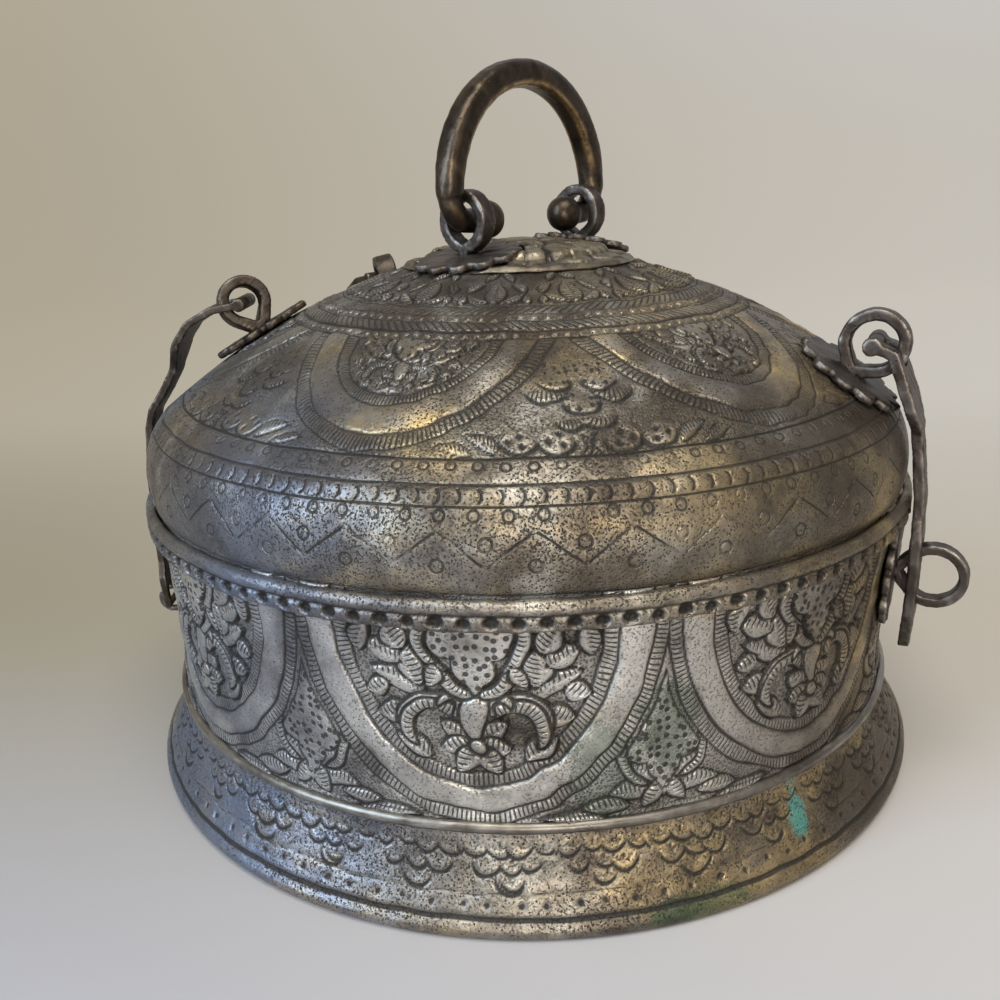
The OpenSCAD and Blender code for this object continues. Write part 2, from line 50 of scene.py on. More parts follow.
footLine = bezier([(124.1, 4.6), (120.5, 11), (115.9, 19), (115.2, 26)])
drumLine = bezier([(115.2, 26), (113.9, 46.1), (114.5, 62.6), (117, 87)])
wallLine = bezier([(117, 87.4), (119.1, 91.4), (118.8, 103), (112.6, 110)])
domeLine = bezier([(112.6, 110), (82, 133.3), (66, 139.5), (36.5, 148.8)])
capLine = bezier([(36.5, 148.8), (24, 152.2), (12, 153), (0, 153)])
sheet = 1.4

def resample(line, step):
    seg = np.linalg.norm(np.diff(line, axis=0), axis=1)
    s = np.concatenate([[0], np.cumsum(seg)])
    n = max(2, int(round(s[-1] / step)))
    at = np.linspace(0, s[-1], n + 1)
    return np.stack([np.interp(at, s, line[:, k]) for k in (0, 1)], 1), at

def outward(line):
    t = np.gradient(line, axis=0)
    t /= np.linalg.norm(t, axis=1)[:, None]
    return np.stack([t[:, 1], -t[:, 0]], 1)

def smooth(a, b, x):
    t = np.clip((x - a) / (b - a), 0, 1)
    return t * t * (3 - 2 * t)

def waves(x, y, scale, seed):
    rng = np.random.default_rng(seed)
    out = np.zeros_like(x)
    for _ in range(5):
        a, ph = rng.uniform(0, 2 * math.pi, 2)
        f = rng.uniform(0.6, 1.7) / scale
        out = out + np.sin((x * math.cos(a) + y * math.sin(a)) * f * 2 * math.pi + ph)
    return out / 3.2

# chased ornament: each shape is laid over the last, with its own height, hatching and ground
class Chasing:
    def __init__(self, like):
        for k in ("h", "cut", "hatch", "phase", "stipple", "dots", "gold"):
            setattr(self, k, np.zeros_like(like))

    # d is the distance to the shape's edge in mm, less than 0 inside it
    def cover(self, d, height=0.0, hatch=None, pitch=1.25, stipple=0.0, dots=0.0, gold=0.0,
              line=0.42, depth=1.0, where=1.0):
        inside = smooth(0.3, -0.3, d)
        for k, v in (("h", height), ("stipple", stipple), ("dots", dots), ("gold", gold)):
            setattr(self, k, getattr(self, k) * (1 - inside) + v * inside)
        self.cut = self.cut * (1 - smooth(-0.2, -0.8, d))
        if hatch is None:
            self.hatch = self.hatch * (1 - inside)
        else:
            self.phase = np.where(d < 0.3, hatch / pitch, self.phase)
            self.hatch = self.hatch * (1 - inside) + smooth(-0.15, -0.5, d) * where
        if line > 0:
            self.cut = np.maximum(self.cut, depth * np.exp(-(d / line) ** 2))

    def groove(self, d, width=0.42, depth=1.0):
        self.cut = np.maximum(self.cut, depth * np.exp(-(d / width) ** 2))

# each shape gives its distance, its swelling, the run along it and the place across it
def leaf(x, y, a, b, wide, bend=0.0, sharp=0.8):
    ax, ay = a
    length = math.hypot(b[0] - ax, b[1] - ay)
    ux, uy = (b[0] - ax) / length, (b[1] - ay) / length
    t = ((x - ax) * ux + (y - ay) * uy) / length
    n = -(x - ax) * uy + (y - ay) * ux - bend * 4 * t * (1 - t)
    tc = np.clip(t, 0, 1)
    half = wide * np.sin(math.pi * tc ** 0.85) ** sharp
    over = np.maximum(-t, t - 1) * length
    d = np.maximum(np.abs(n) - half, over)
    crown = np.sqrt(np.clip(1 - (n / np.maximum(half, 0.3)) ** 2, 0, 1)) * (over < 0)
    return d, crown, t * length + 0.3 * n, n / np.maximum(half, 0.3)

def curl(x, y, cx, cy, radius, wide, a0, a1, taper=0.5):
    dx, dy = x - cx, y - cy
    rho = np.hypot(dx, dy)
    mid = (a0 + a1) / 2
    ang = (np.degrees(np.arctan2(dy, dx)) - mid + 180) % 360 - 180
    span = (a1 - a0) / 2
    t = ang / span
    half = wide * (1 - taper * np.clip(t * 0.5 + 0.5, 0, 1)) * np.clip(1.15 - np.abs(t) ** 4, 0.1, 1)
    over = (np.abs(ang) - span) * math.pi / 180 * radius
    d = np.maximum(np.abs(rho - radius) - half, over)
    crown = np.sqrt(np.clip(1 - ((rho - radius) / np.maximum(half, 0.3)) ** 2, 0, 1)) * (over < 0)
    return d, crown, np.radians(ang) * radius, (rho - radius) / np.maximum(half, 0.3)

# strokes fill one side of a leaf and leave the other bright
def strokes(side):
    return smooth(-0.95, -0.7, side) * smooth(0.3, 0.05, side)

def disc(x, y, cx, cy, radius):
    rho = np.hypot(x - cx, y - cy)
    return rho - radius, np.sqrt(np.clip(1 - (rho / radius) ** 2, 0, 1))

# the hatched and plain borders round an ornament with half axes a and b
def bands(art, x, y, a, b, at, fade=1.0):
    rho = np.sqrt((x / a) ** 2 + (y / b) ** 2) + 1e-6
    grad = np.sqrt((x / a ** 2) ** 2 + (y / b ** 2) ** 2) / rho
    ang = np.arctan2(y / b, x / a)
    along = ang * (a + b) / 2
    side = np.sin(ang) ** 2
    edge = [w + (t - w) * side for w, t in at]
    far = [(rho - e) / grad for e in edge] + [(rho - 1) / grad]
    def band(k):
        return np.maximum(far[k + 1], -far[k])
    half = (edge[2] - edge[1]) / 2
    mid = (edge[2] + edge[1]) / 2
    swell = np.sqrt(np.clip(1 - ((rho - mid) / half) ** 2, 0, 1))
    art.cover(band(2), 0.05, along * 1.12, 1.45)
    art.cover(band(1), 0.1 + 0.55 * swell * fade, gold=1.0)
    art.cover(band(0), 0.0, along * 0.8, 1.3)
    art.cover(far[0], -0.45 * fade, stipple=1.0)

# leaves of the bouquet: foot, tip, half width and bend, for one side
bouquetLeaves = (((12.0, 18.6), (25.2, 11.6), 2.9, -1.2), ((13.6, 15.6), (14.6, 5.6), 3.0, 1.0),
                 ((17.0, 9.8), (25.4, 5.4), 3.1, -0.8), ((15.8, 6.4), (19.6, -1.6), 3.0, 0.6),
                 ((25.6, -0.5), (27.4, 8.4), 2.4, -0.6), ((16.6, 22.0), (24.2, 24.0), 2.7, 0.9),
                 ((20.8, 15.6), (27.0, 17.8), 2.4, 0.6), ((11.4, 35.0), (19.6, 29.4), 2.5, -0.7))

# the bouquet inside a medallion; x and y in mm, y down from its top, k its scale
def bouquet(art, x, y, k=1.0, fade=1.0):
    q = np.abs(x + 0.5 * np.sin(y * 0.31)) / k
    p = y / k

    def lay(shape, swell=0.65, pitch=1.3, vein=0.3, base=0.1, plain=False, gold=0.4):
        d, crown, run, side = shape
        lift = (base + swell * crown - vein * np.exp(-(side / 0.16) ** 2)) * fade
        art.cover(d, lift, None if plain else run, pitch, gold=gold, line=0.5, depth=1.2, where=strokes(side))

    for a, b, w, bend in bouquetLeaves:
        lay(leaf(q, p, a, b, w * 1.22, bend))
    lay(curl(q, p, 9.6, 26.4, 7.0, 2.9, -178, 48, 0.3), 0.75, 1.45, 0.0)
    lay(curl(q, p, 9.6, 26.4, 8.9, 0.9, -170, 10, 0.3), 0.5, 1.0, 0.0, 0.45, True, 0.6)
    lay(curl(q, p, 6.0, 20.6, 2.7, 1.35, -250, 0, 0.2), 0.5, 1.0, 0.0, 0.35, True)
    for a, b, w in (((1.0, 29.0), (8.2, 24.8), 2.9), ((1.0, 30.6), (8.8, 31.6), 2.9),
                    ((0.6, 31.6), (5.2, 38.2), 3.2)):
        lay(leaf(q, p, a, b, w, 0.4), 0.7, 1.35)
    lay(leaf(q, p, (0, 14.6), (0, 32.0), 3.6, 0, 1.1), 0.6, 1.0, 0.0, 0.35, True, 0.6)
    lay(disc(q, p, 0, 31.4, 2.3) + (q, q + 9), 0.7, 1.0, 0.0, 0.3, True, 0.6)
    lay(curl(q, p, 4.4, 3.2, 7.9, 2.0, -62, 78, 0.25), 0.55, 1.3, 0.0, 0.2)
    lay(curl(q, p, 0.4, 10.6, 7.4, 2.1, 2, 88, 0.35), 0.55, 1.3, 0.0, 0.2)
    lay(leaf(q, p, (8.8, 9.4), (11.8, 15.6), 2.4, 0.5), 0.6)
    lobes = [disc(q, p, 4.4, 2.8, 5.7), disc(q, p, 0, 10.8, 5.0), leaf(q, p, (0, 5), (0, 18.2), 3.6)[:2]]
    d = np.minimum.reduce([v[0] for v in lobes])
    crown = np.maximum.reduce([v[1] for v in lobes])
    art.cover(d, (0.35 + 0.45 * crown) * fade, dots=1.0, gold=0.5, depth=1.1)

# both fillings between two medallions begin so; q is the distance from the middle line, p that from the top
def spandrelStart(art, q, p, k, fade):
    q, p = np.abs(q + 0.5 * np.sin(p * 0.37)) / k, p / k
    art.stipple = np.maximum(art.stipple, smooth(14, 20, p))

    def lay(shape, swell=0.5, pitch=1.2, base=0.05, gold=0.4):
        d, crown, run, side = shape
        lift = (base + swell * crown) * fade
        art.cover(d, lift, run, pitch, gold=gold, line=0.45, depth=1.1, where=strokes(side))

    return q, p, lay

# lobes of the lid's filling, laid in this order: place across, level, radius, dotted or ribbed
fanLobes = ((10.6, 24.5, 6.4, 0), (7.0, 20.2, 5.6, 1), (3.6, 36.4, 5.0, 0), (0, 29.4, 6.0, 1))
roundels = {"across": (10.4, 20.8), "level": 45.2, "radius": 5.3, "punches": 3, "reach": 2.5}

def lidSpandrel(art, q, p, k, fade):
    q, p, lay = spandrelStart(art, q, p, k, fade)
    ground = smooth(10, 12, p) * smooth(30, 27, p) * smooth(9.5, 8.0, q)
    art.dots = np.maximum(art.dots, ground)
    art.stipple = art.stipple * (1 - ground)
    for c, level, size, dotted in fanLobes:
        d, crown = disc(q, p, c, level, size)
        lift = (0.08 + 0.3 * crown * smooth(level - 2, level + size, p)) * fade
        fan = np.arctan2(q - c + 0.01, p - level + 6) * 9
        ribbed = smooth(level + 0.5, level + 1.5, p) * smooth(level + size - 0.4, level + size - 1.4, p)
        art.cover(np.where(p > level - 2, d, 9), lift, None if dotted else fan, 1.3, dots=dotted, gold=0.6,
                  line=0, where=ribbed)
        art.groove(np.where(p > level - 1, d, 9), 0.55, 0.2 + 1.3 * smooth(level - 1, level + size * 0.7, p))
    lay(curl(q, p, 5.5, 46.5, 4.6, 1.0, 110, 225, 0.4), 0.4)
    for c in roundels["across"]:
        d, crown = disc(q, p, c, roundels["level"], roundels["radius"])
        art.cover(d, (0.15 + 0.2 * crown) * fade, gold=1.0, line=0)
        art.groove(d, 0.55, 0.35 + 1.1 * smooth(43, 48, p))
        for t in range(roundels["punches"]):
            a = 2.2 + t * 2.094 + c
            u = q - c - roundels["reach"] * math.cos(a)
            v = p - roundels["level"] - roundels["reach"] * math.sin(a)
            art.groove(np.abs(u) * 0.9 + np.abs(v) * 0.6, 0.85, 1.7)
    lay(leaf(q, p, (27, 49.5), (36, 42.5), 2.8, -1.5), 0.5)
    lay(leaf(q, p, (35, 50.0), (45, 46.5), 2.2, -1.2), 0.5)

# leaves at the foot of the drum's filling, as the bouquet's
crestLeaves = (((0.5, 44.0), (10.5, 38.0), 2.6, -0.9), ((1.0, 47.0), (14.5, 46.0), 2.9, -1.2),
               ((8.5, 49.0), (21.0, 49.8), 2.3, -1.0), ((0.0, 42.5), (5.4, 50.4), 2.4, 0.6),
               ((14, 51.8), (31, 51.2), 1.6, -0.6))

# a dotted bud over leaves; room is the distance to the medallions' edges
def drumSpandrel(art, q, p, room):
    q, p, lay = spandrelStart(art, q, p, 1.0, 1.0)
    for a, b, w, bend in crestLeaves:
        lay(leaf(q, p, a, b, w, bend))
    lay(curl(q, p, 2.6, 35.2, 8.4, 1.6, -35, 84, 0.3), 0.45)
    lobes = [disc(q, p, 4.9, 33.0, 5.6), disc(q, p, 0, 38.6, 4.9), leaf(q, p, (0, 33), (0, 46), 3.4)[:2],
             (np.maximum(1.5 - room, np.maximum(14 - p, p - 33)), smooth(1.0, 4.0, room) * 0.7)]
    d = np.maximum(np.minimum.reduce([v[0] for v in lobes]), 1.2 - room)
    crown = np.maximum.reduce([v[1] for v in lobes])
    art.cover(d, 0.12 + 0.3 * crown, dots=1.0, gold=0.5, depth=0.9)

# a number for each vertex, which the materials read
def store(mesh, key, value):
    mesh.attributes.new(key, "FLOAT", "POINT").data.foreach_set("value", value.astype(np.float32).ravel())

# a closed sheet over part of a turn: a grid whose rows follow the profile, outside and back inside
def sector(name, outer, span, cols, step, relief, body, node, material, backStep=5.0, thick=sheet):
    o, s = resample(outer, step)
    no = outward(o)
    inner = resample(o - thick * no, backStep)[0][::-1]
    def rim(a, b):
        mid, out = (a + b) / 2, np.array([-(b - a)[1], (b - a)[0]]) * -1
        out = out / np.linalg.norm(out) * thick * 0.12
        return np.array([a * 0.85 + b * 0.15 + out * 0.62, mid + out, a * 0.15 + b * 0.85 + out * 0.62])
    rows = np.concatenate([o, rim(o[-1], inner[0]), inner, rim(inner[-1], o[0]), o[:1]])
    ns = np.concatenate([no, np.zeros((len(rows) - len(o), 2))])
    ns[-1] = no[0]
    keep = np.zeros(len(rows))
    keep[:len(o)] = 1
    keep[-1] = 1
    ss = np.concatenate([s, np.zeros(len(rows) - len(o))])
    # two spare columns give the true slope at both cuts
    az = np.radians(np.linspace(span[0], span[1], cols + 1))
    stepAz = az[1] - az[0]
    wide = np.concatenate([[az[0] - stepAz], az, [az[-1] + stepAz]])
    phi = np.repeat(wide[None, :], len(rows), 0)
    r = np.repeat(rows[:, 0][:, None], len(wide), 1)
    z = np.repeat(rows[:, 1][:, None], len(wide), 1)
    along = np.repeat(ss[:, None], len(wide), 1)
    art = relief(np.degrees(phi), along, r, z)
    mask = keep[:, None]
    h = (art.h - 0.42 * art.cut) * mask
    rr = r + h * ns[:, 0][:, None]
    zz = z + h * ns[:, 1][:, None]
    pos = np.stack([rr * np.sin(phi), -rr * np.cos(phi), zz], 2) * mm
    du = np.gradient(pos, axis=1)
    dv = np.gradient(pos, axis=0)
    dv[0] = dv[-1] = pos[1] - pos[-2]
    nrm = np.cross(du, dv)
    nrm /= np.linalg.norm(nrm, axis=2)[:, :, None] + 1e-12
    pos, nrm = pos[:, 1:-1], nrm[:, 1:-1]
    marks = ("cut", "hatch", "phase", "stipple", "dots", "gold")
    data = {k: (getattr(art, k) * mask)[:, 1:-1] for k in marks}
    data["relief"] = h[:, 1:-1]
    data["along"] = (along * mm)[:, 1:-1]
    data["shown"] = np.broadcast_to(mask, h.shape)[:, 1:-1]
    bm = bmesh.new()
    bmesh.ops.create_grid(bm, x_segments=cols, y_segments=len(rows) - 1, size=1)
    mesh = bpy.data.meshes.new(name)
    bm.to_mesh(mesh)
    bm.free()
    flat = np.zeros(len(mesh.vertices) * 3, np.float32)
    mesh.vertices.foreach_get("co", flat)
    flat = flat.reshape(-1, 3)
    i = np.rint((flat[:, 0] + 1) / 2 * cols).astype(int)
    j = np.rint((flat[:, 1] + 1) / 2 * (len(rows) - 1)).astype(int)
    mesh.vertices.foreach_set("co", pos[j, i].astype(np.float32).ravel())
    for key, value in data.items():
        store(mesh, key, value[j, i])
    mesh.polygons.foreach_set("use_smooth", np.ones(len(mesh.polygons), bool))
    mesh.update()
    mesh.normals_split_custom_set_from_vertices(nrm[j, i].reshape(-1, 3).tolist())
    obj = bpy.data.objects.new(name, mesh)
    scene.collection.objects.link(obj)
    mesh.materials.append(material)
    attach(obj, body)
    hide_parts(node)

# shader maths
class Value:
    def __init__(self, tree, out):
        self.tree, self.out = tree, out

    def node(self, kind, settings=None, inputs=None, out=0):
        n = self.tree.nodes.new(kind)
        for k, v in (settings or {}).items():
            setattr(n, k, v)
        for k, v in (inputs or {}).items():
            if isinstance(v, Value):
                self.tree.links.new(v.out, n.inputs[k])
            else:
                n.inputs[k].default_value = v
        return Value(self.tree, n.outputs[out])

    def math(self, op, *others):
        return self.node("ShaderNodeMath", {"operation": op}, dict(enumerate((self,) + others)))

    def __add__(self, o): return self.math("ADD", o)
    def __radd__(self, o): return self.math("ADD", o)
    def __sub__(self, o): return self.math("SUBTRACT", o)
    def __rsub__(self, o): return (self * -1) + o
    def __mul__(self, o): return self.math("MULTIPLY", o)
    def __truediv__(self, o): return self.math("DIVIDE", o)
    def __pow__(self, o): return self.math("POWER", o)
    def __abs__(self): return self.math("ABSOLUTE")

    def ramp(self, a, b, low=0.0, high=1.0):
        return self.node("ShaderNodeMapRange", {"interpolation_type": "SMOOTHSTEP", "clamp": True},
                         {0: self, 1: a, 2: b, 3: low, 4: high})

    def clip(self):
        return self.node("ShaderNodeClamp", {}, {0: self})

    def mix(self, a, b):
        n = self.tree.nodes.new("ShaderNodeMix")
        n.data_type = "RGBA"
        self.tree.links.new(self.out, n.inputs[0])
        for k, v in ((6, a), (7, b)):
            if isinstance(v, Value):
                self.tree.links.new(v.out, n.inputs[k])
            else:
                n.inputs[k].default_value = (*v, 1)
        return Value(self.tree, n.outputs[2])

class Material:
    def __init__(self, name):
        self.mat = bpy.data.materials.new(name)
        self.mat.use_nodes = True
        self.tree = self.mat.node_tree
        self.surface = self.tree.nodes["Principled BSDF"]
        self.start = Value(self.tree, self.tree.nodes.new("ShaderNodeTexCoord").outputs["Object"])

    def attribute(self, key):
        return self.start.node("ShaderNodeAttribute", {"attribute_name": key}, out=2)

    def axes(self):
        n = self.tree.nodes.new("ShaderNodeSeparateXYZ")
        self.tree.links.new(self.start.out, n.inputs[0])
        return [Value(self.tree, n.outputs[k]) for k in range(3)]

    def vector(self, x, y, z=0.0):
        return self.start.node("ShaderNodeCombineXYZ", {}, {0: x, 1: y, 2: z})

    def noise(self, scale, detail=4.0, rough=0.55, at=None):
        inputs = {"Vector": at or self.start, "Scale": scale, "Detail": detail, "Roughness": rough}
        return self.start.node("ShaderNodeTexNoise", {}, inputs)

    def cells(self, scale, at=None, dims="3D", random=1.0):
        return self.start.node("ShaderNodeTexVoronoi", {"voronoi_dimensions": dims},
                               {"Vector": at or self.start, "Scale": scale, "Randomness": random})

    def link(self, key, value):
        self.tree.links.new(value.out, self.surface.inputs[key])

    def bump(self, height, distance):
        return self.start.node("ShaderNodeBump", {}, {"Height": height, "Distance": distance})

tones = {"tin": (0.30, 0.275, 0.235), "bright": (0.64, 0.615, 0.565), "polished": (0.76, 0.735, 0.68),
         "worn": (0.25, 0.225, 0.185), "tinLight": (0.56, 0.53, 0.47), "brown": (0.122, 0.096, 0.070),
         "gold": (0.48, 0.36, 0.18), "reflectedBlue": (0.185, 0.225, 0.315), "soot": (0.018, 0.016, 0.014),
         "green": (0.055, 0.115, 0.060), "turquoise": (0.16, 0.47, 0.42), "inner": (0.27, 0.255, 0.23)}

# worn tin over chased brass, with painted light: a blue reflection of the window on the left and painted
# shade towards the right; extra adds lines struck with a punch, 0 to 1
def chasedMetal(name, extra=None, goldAt=0.5, spots=(), dark=0.0, dotStep=2.5, pitted=1.0,
                tin="tin", windowReflection=1.0):
    m = Material(name)
    x, y, z = m.axes()
    phi = x.math("ARCTAN2", y * -1)
    cut, hatchMask, phase = m.attribute("cut"), m.attribute("hatch"), m.attribute("phase")
    stippleMask, dotMask, gold = m.attribute("stipple"), m.attribute("dots"), m.attribute("gold")
    relief, along, shown = m.attribute("relief"), m.attribute("along"), m.attribute("shown")
    flat = m.vector(phi * 0.115, along + z * 0.001)
    wob = m.noise(900, 2.0)
    hatch = (abs(phase.math("FRACT") - 0.5) * 2 + (wob - 0.5) * 0.5).ramp(0.50, 0.88) * hatchMask
    grit = m.cells(1150, flat, "2D")
    stipple = grit.ramp(0.42, 0.18) * stippleMask.ramp(0.15, 0.75)
    dots = m.cells(1000 / dotStep, flat, "2D", random=0.72).ramp(0.82 / dotStep, 0.55 / dotStep)
    dots = dots * dotMask.ramp(0.3, 0.7)
    struck = hatch.math("MAXIMUM", stipple * 0.85).math("MAXIMUM", dots)
    if extra:
        struck = struck.math("MAXIMUM", extra(m, phi, along, z) * shown)
    fine = m.noise(2300, 3.0, 0.65)
    pitWhere = m.noise(75, 4.0).ramp(0.46, 0.62)
    pits = m.cells(700).ramp(0.22, 0.08) * pitWhere
    spread = m.noise(1300, 2.0, 0.5).ramp(0.64, 0.74) * m.noise(38, 3.0).ramp(0.42, 0.6)
    pits = pits.math("MAXIMUM", spread * 0.85)
    speck = m.noise(1500, 4.0, 0.7).ramp(0.55, 0.62) * m.noise(24, 4.0, 0.6).ramp(0.30, 0.52)
    grains = m.cells(900).ramp(0.26, 0.15) * m.noise(52, 4.0, 0.65).ramp(0.34, 0.50)
    pits = pits.math("MAXIMUM", speck.math("MAXIMUM", grains) * pitted)
    big = m.noise(17, 5.0, 0.6)
    mid = m.noise(70, 6.0, 0.65)
    # side runs from the left, towards the window lamp, to the right, away from it
    side = (x * math.cos(math.radians(turn)) - y * math.sin(math.radians(turn))) * 8.3
    reflectionPatches = m.noise(9, 3.0, 0.5, m.vector(x + 3.1, y, z))
    warm = m.noise(15, 6.0, 0.66, m.vector(x, y + 5.3, z * 2.2))
    tint = (big * 0.55 + mid * 0.45).ramp(0.38, 0.62).mix(tones["brown"], tones[tin])
    light = (relief.ramp(0.1, 0.8) * 0.4 + mid.ramp(0.5, 0.72) * 0.5).clip()
    tint = light.mix(tint, tones["polished" if tin == "bright" else "tinLight"])
    # painted reflection: a patchy blue tint on the left, where the window lamp is reflected; windowReflection
    # sets how much
    tint = ((reflectionPatches.ramp(0.42, 0.62) * 0.72 + 0.22) * side.ramp(0.0, -0.75) * windowReflection).mix(tint, tones["reflectedBlue"])
    # painted shade: towards the right, away from the window lamp, the metal darkens to brown
    tint = (side.ramp(0.12, 0.78) * 0.82).mix(tint, tones["brown"])
    # the gold patches fade on the left, under the painted reflection
    goldMask = (warm.ramp(0.58 - 0.2 * goldAt, 0.74 - 0.2 * goldAt) * (gold * 0.6 + 0.45) * mid.ramp(0.3, 0.6)
                * side.ramp(-0.75, -0.2, 0.35, 1.0)).clip()
    tint = goldMask.mix(tint, tones["gold"])
    for at, size, key, much in spots:
        u, v, w = (x - at[0]) / size[0], (y - at[1]) / size[0], (z - at[2]) / size[1]
        far = (u ** 2.0 + v ** 2.0 + w ** 2.0).math("SQRT")
        ragged = far + (m.noise(240, 4.0, 0.7) - 0.5) * 1.3 + (m.noise(1700, 3.0, 0.7) - 0.5) * 1.7
        spot = ragged.ramp(1.0, 0.72) * much
        tint = spot.mix(tint, tones[key])
    grime = (cut.ramp(0.15, 0.8) * 0.92).math("MAXIMUM", struck * 0.9).math("MAXIMUM", stippleMask * 0.34)
    low = m.noise(42, 5.0, 0.7).ramp(0.50, 0.70) * relief.ramp(0.35, -0.3)
    grime = grime.math("MAXIMUM", low * 0.7).math("MAXIMUM", pits * 0.9)
    grime = grime.math("MAXIMUM", mid.ramp(0.5, 0.3) * (0.3 + dark))
    tint = grime.clip().mix(tint, tones["soot"])
    tint = shown.mix(tones["inner"], tint)
    m.link("Base Color", tint)
    m.link("Metallic", (1.0 - grime * 0.55).clip() * 0.95)
    m.link("Roughness", (0.20 + mid * 0.22 + grime * 0.30 + fine * 0.12).clip())
    height = fine * (0.10 + 0.12 * pitted) + mid * 0.45 - struck * 0.9 - pits * 0.8 + m.noise(230, 4.0) * 0.45
    m.link("Normal", m.bump(height, 0.00045))
    return m.mat

def forgedMetal(name, base, edge, dirt, rough=0.42, grain=420):
    m = Material(name)
    wear = m.attribute("wear")
    mid = m.noise(95, 6.0, 0.65)
    fine = m.noise(grain, 4.0, 0.6)
    pits = m.cells(650).ramp(0.22, 0.06) * m.noise(130, 3.0).ramp(0.45, 0.6)
    tint = mid.ramp(0.3, 0.7).mix(dirt, base)
    tint = (wear.ramp(0.52, 0.80) * fine.ramp(0.25, 0.6)).clip().mix(tint, edge)
    grime = (wear.ramp(0.47, 0.30) * 0.85).math("MAXIMUM", pits * 0.8)
    tint = grime.clip().mix(tint, tones["soot"])
    m.link("Base Color", tint)
    m.link("Metallic", (1.0 - grime * 0.5).clip() * 0.95)
    m.link("Roughness", (rough - 0.1 + mid * 0.2 + grime * 0.25 - wear.ramp(0.55, 0.85) * 0.1).clip())
    m.link("Normal", m.bump(fine * 0.5 + mid * 0.5 - pits * 0.8, 0.00022))
    return m.mat

print("materials")

# where the hardware sits on the sheet, so the chasing stays flat under it
straps = (151.5, 208.5)

def arc(az, centre, radius):
    return np.radians((az - centre + 180) % 360 - 180) * radius

# each spot is its azimuth, then z or r with its limits low and high, and half its width between them
def calm(art, az, r, spots):
    keep = np.ones_like(r)
    for centre, level, half, low, high in spots:
        off = np.maximum(np.abs(arc(az, centre, r)) - half, np.maximum(low - level, level - high))
        keep = keep * smooth(0, 3.5, off)
    art.h = art.h * keep
    return art

# the unsteady hand: how far each stroke strays, in mm
def wander(az, along, seed, much=0.45):
    a = np.radians(az)
    x, y = 118 * np.sin(a) + 0.7 * along, 118 * np.cos(a) + 0.4 * along
    return waves(x, y, 17, seed) * much, waves(x, y, 13, seed + 1) * much

# drum
drum = {"medallions": 8, "first": 19.0, "top": 79.0, "wide": 45.5, "deep": 52.2, "radius": 115.5,
        "bands": ((0.66, 0.74), (0.747, 0.81), (0.923, 0.94)), "lines": (28.6, 26.9), "ridge": 27.2}

def drumRelief(az, along, r, z):
    art = Chasing(r)
    dx, dy = wander(az, along, 11)
    gap = 360 / drum["medallions"]
    centre = drum["first"] + np.round((az - drum["first"]) / gap) * gap
    x = np.radians(az - centre) * drum["radius"] + dx
    y = drum["top"] - z + dy
    half = np.radians(gap / 2) * drum["radius"]
    room = (np.sqrt((x / drum["wide"]) ** 2 + (y / drum["deep"]) ** 2) - 1) * 44
    drumSpandrel(art, half - np.abs(x), y, room)
    for edge in drum["lines"]:
        art.groove(z - edge + dy * 0.4, 0.45, 0.7)
    bands(art, x, y, drum["wide"], drum["deep"], drum["bands"])
    bouquet(art, x, y)
    art.h += 0.35 * smooth(2.4, 0.6, np.abs(z - drum["ridge"]))
    around = arc(az, 0, drum["radius"])
    art.h += waves(around, z * 1.4, 21, 5) * 0.22 + waves(around, z, 7, 6) * 0.06
    return calm(art, az, r, [(0, z, 9, 54, 75)] + [(s, z, 7, 20, 90) for s in straps])

tinned = chasedMetal("tinnedSheet", None, 0.35, tin="bright", pitted=0.7, windowReflection=0.6,
                     spots=(((-0.095, -0.064, 0.040), (0.010, 0.016), "green", 0.5),
                            ((-0.086, -0.077, 0.050), (0.008, 0.014), "green", 0.55)))
gridStep = 0.50
for k in range(4):
    start = drum["first"] + 22.5 + 90 * k
    sector(f"drumChased{k}", drumLine, (start, start + 90), int(181.5 / gridStep), gridStep, drumRelief,
           "box", "body_drum", tinned)
print("drum")

# foot, with its rim rolled round a wire
foot = {"clusters": 32, "pitch": 5.6, "scale": 3.5, "radius": 119, "rows": ((2, 14.6), (1, 18.0), (0, 21.8)),
        "line": 10.9, "dotStep": 7.2, "dotLevel": 8.6, "edge": 5.6}
rollArc = np.array([(122.4 + 2.6 * math.cos(math.radians(t)), 2.4 + 2.6 * math.sin(math.radians(t)))
                    for t in range(192, 408, 6)])
footProfile = np.concatenate([rollArc, footLine])
footProfile[:, 1] = np.maximum(footProfile[:, 1], 0.03)

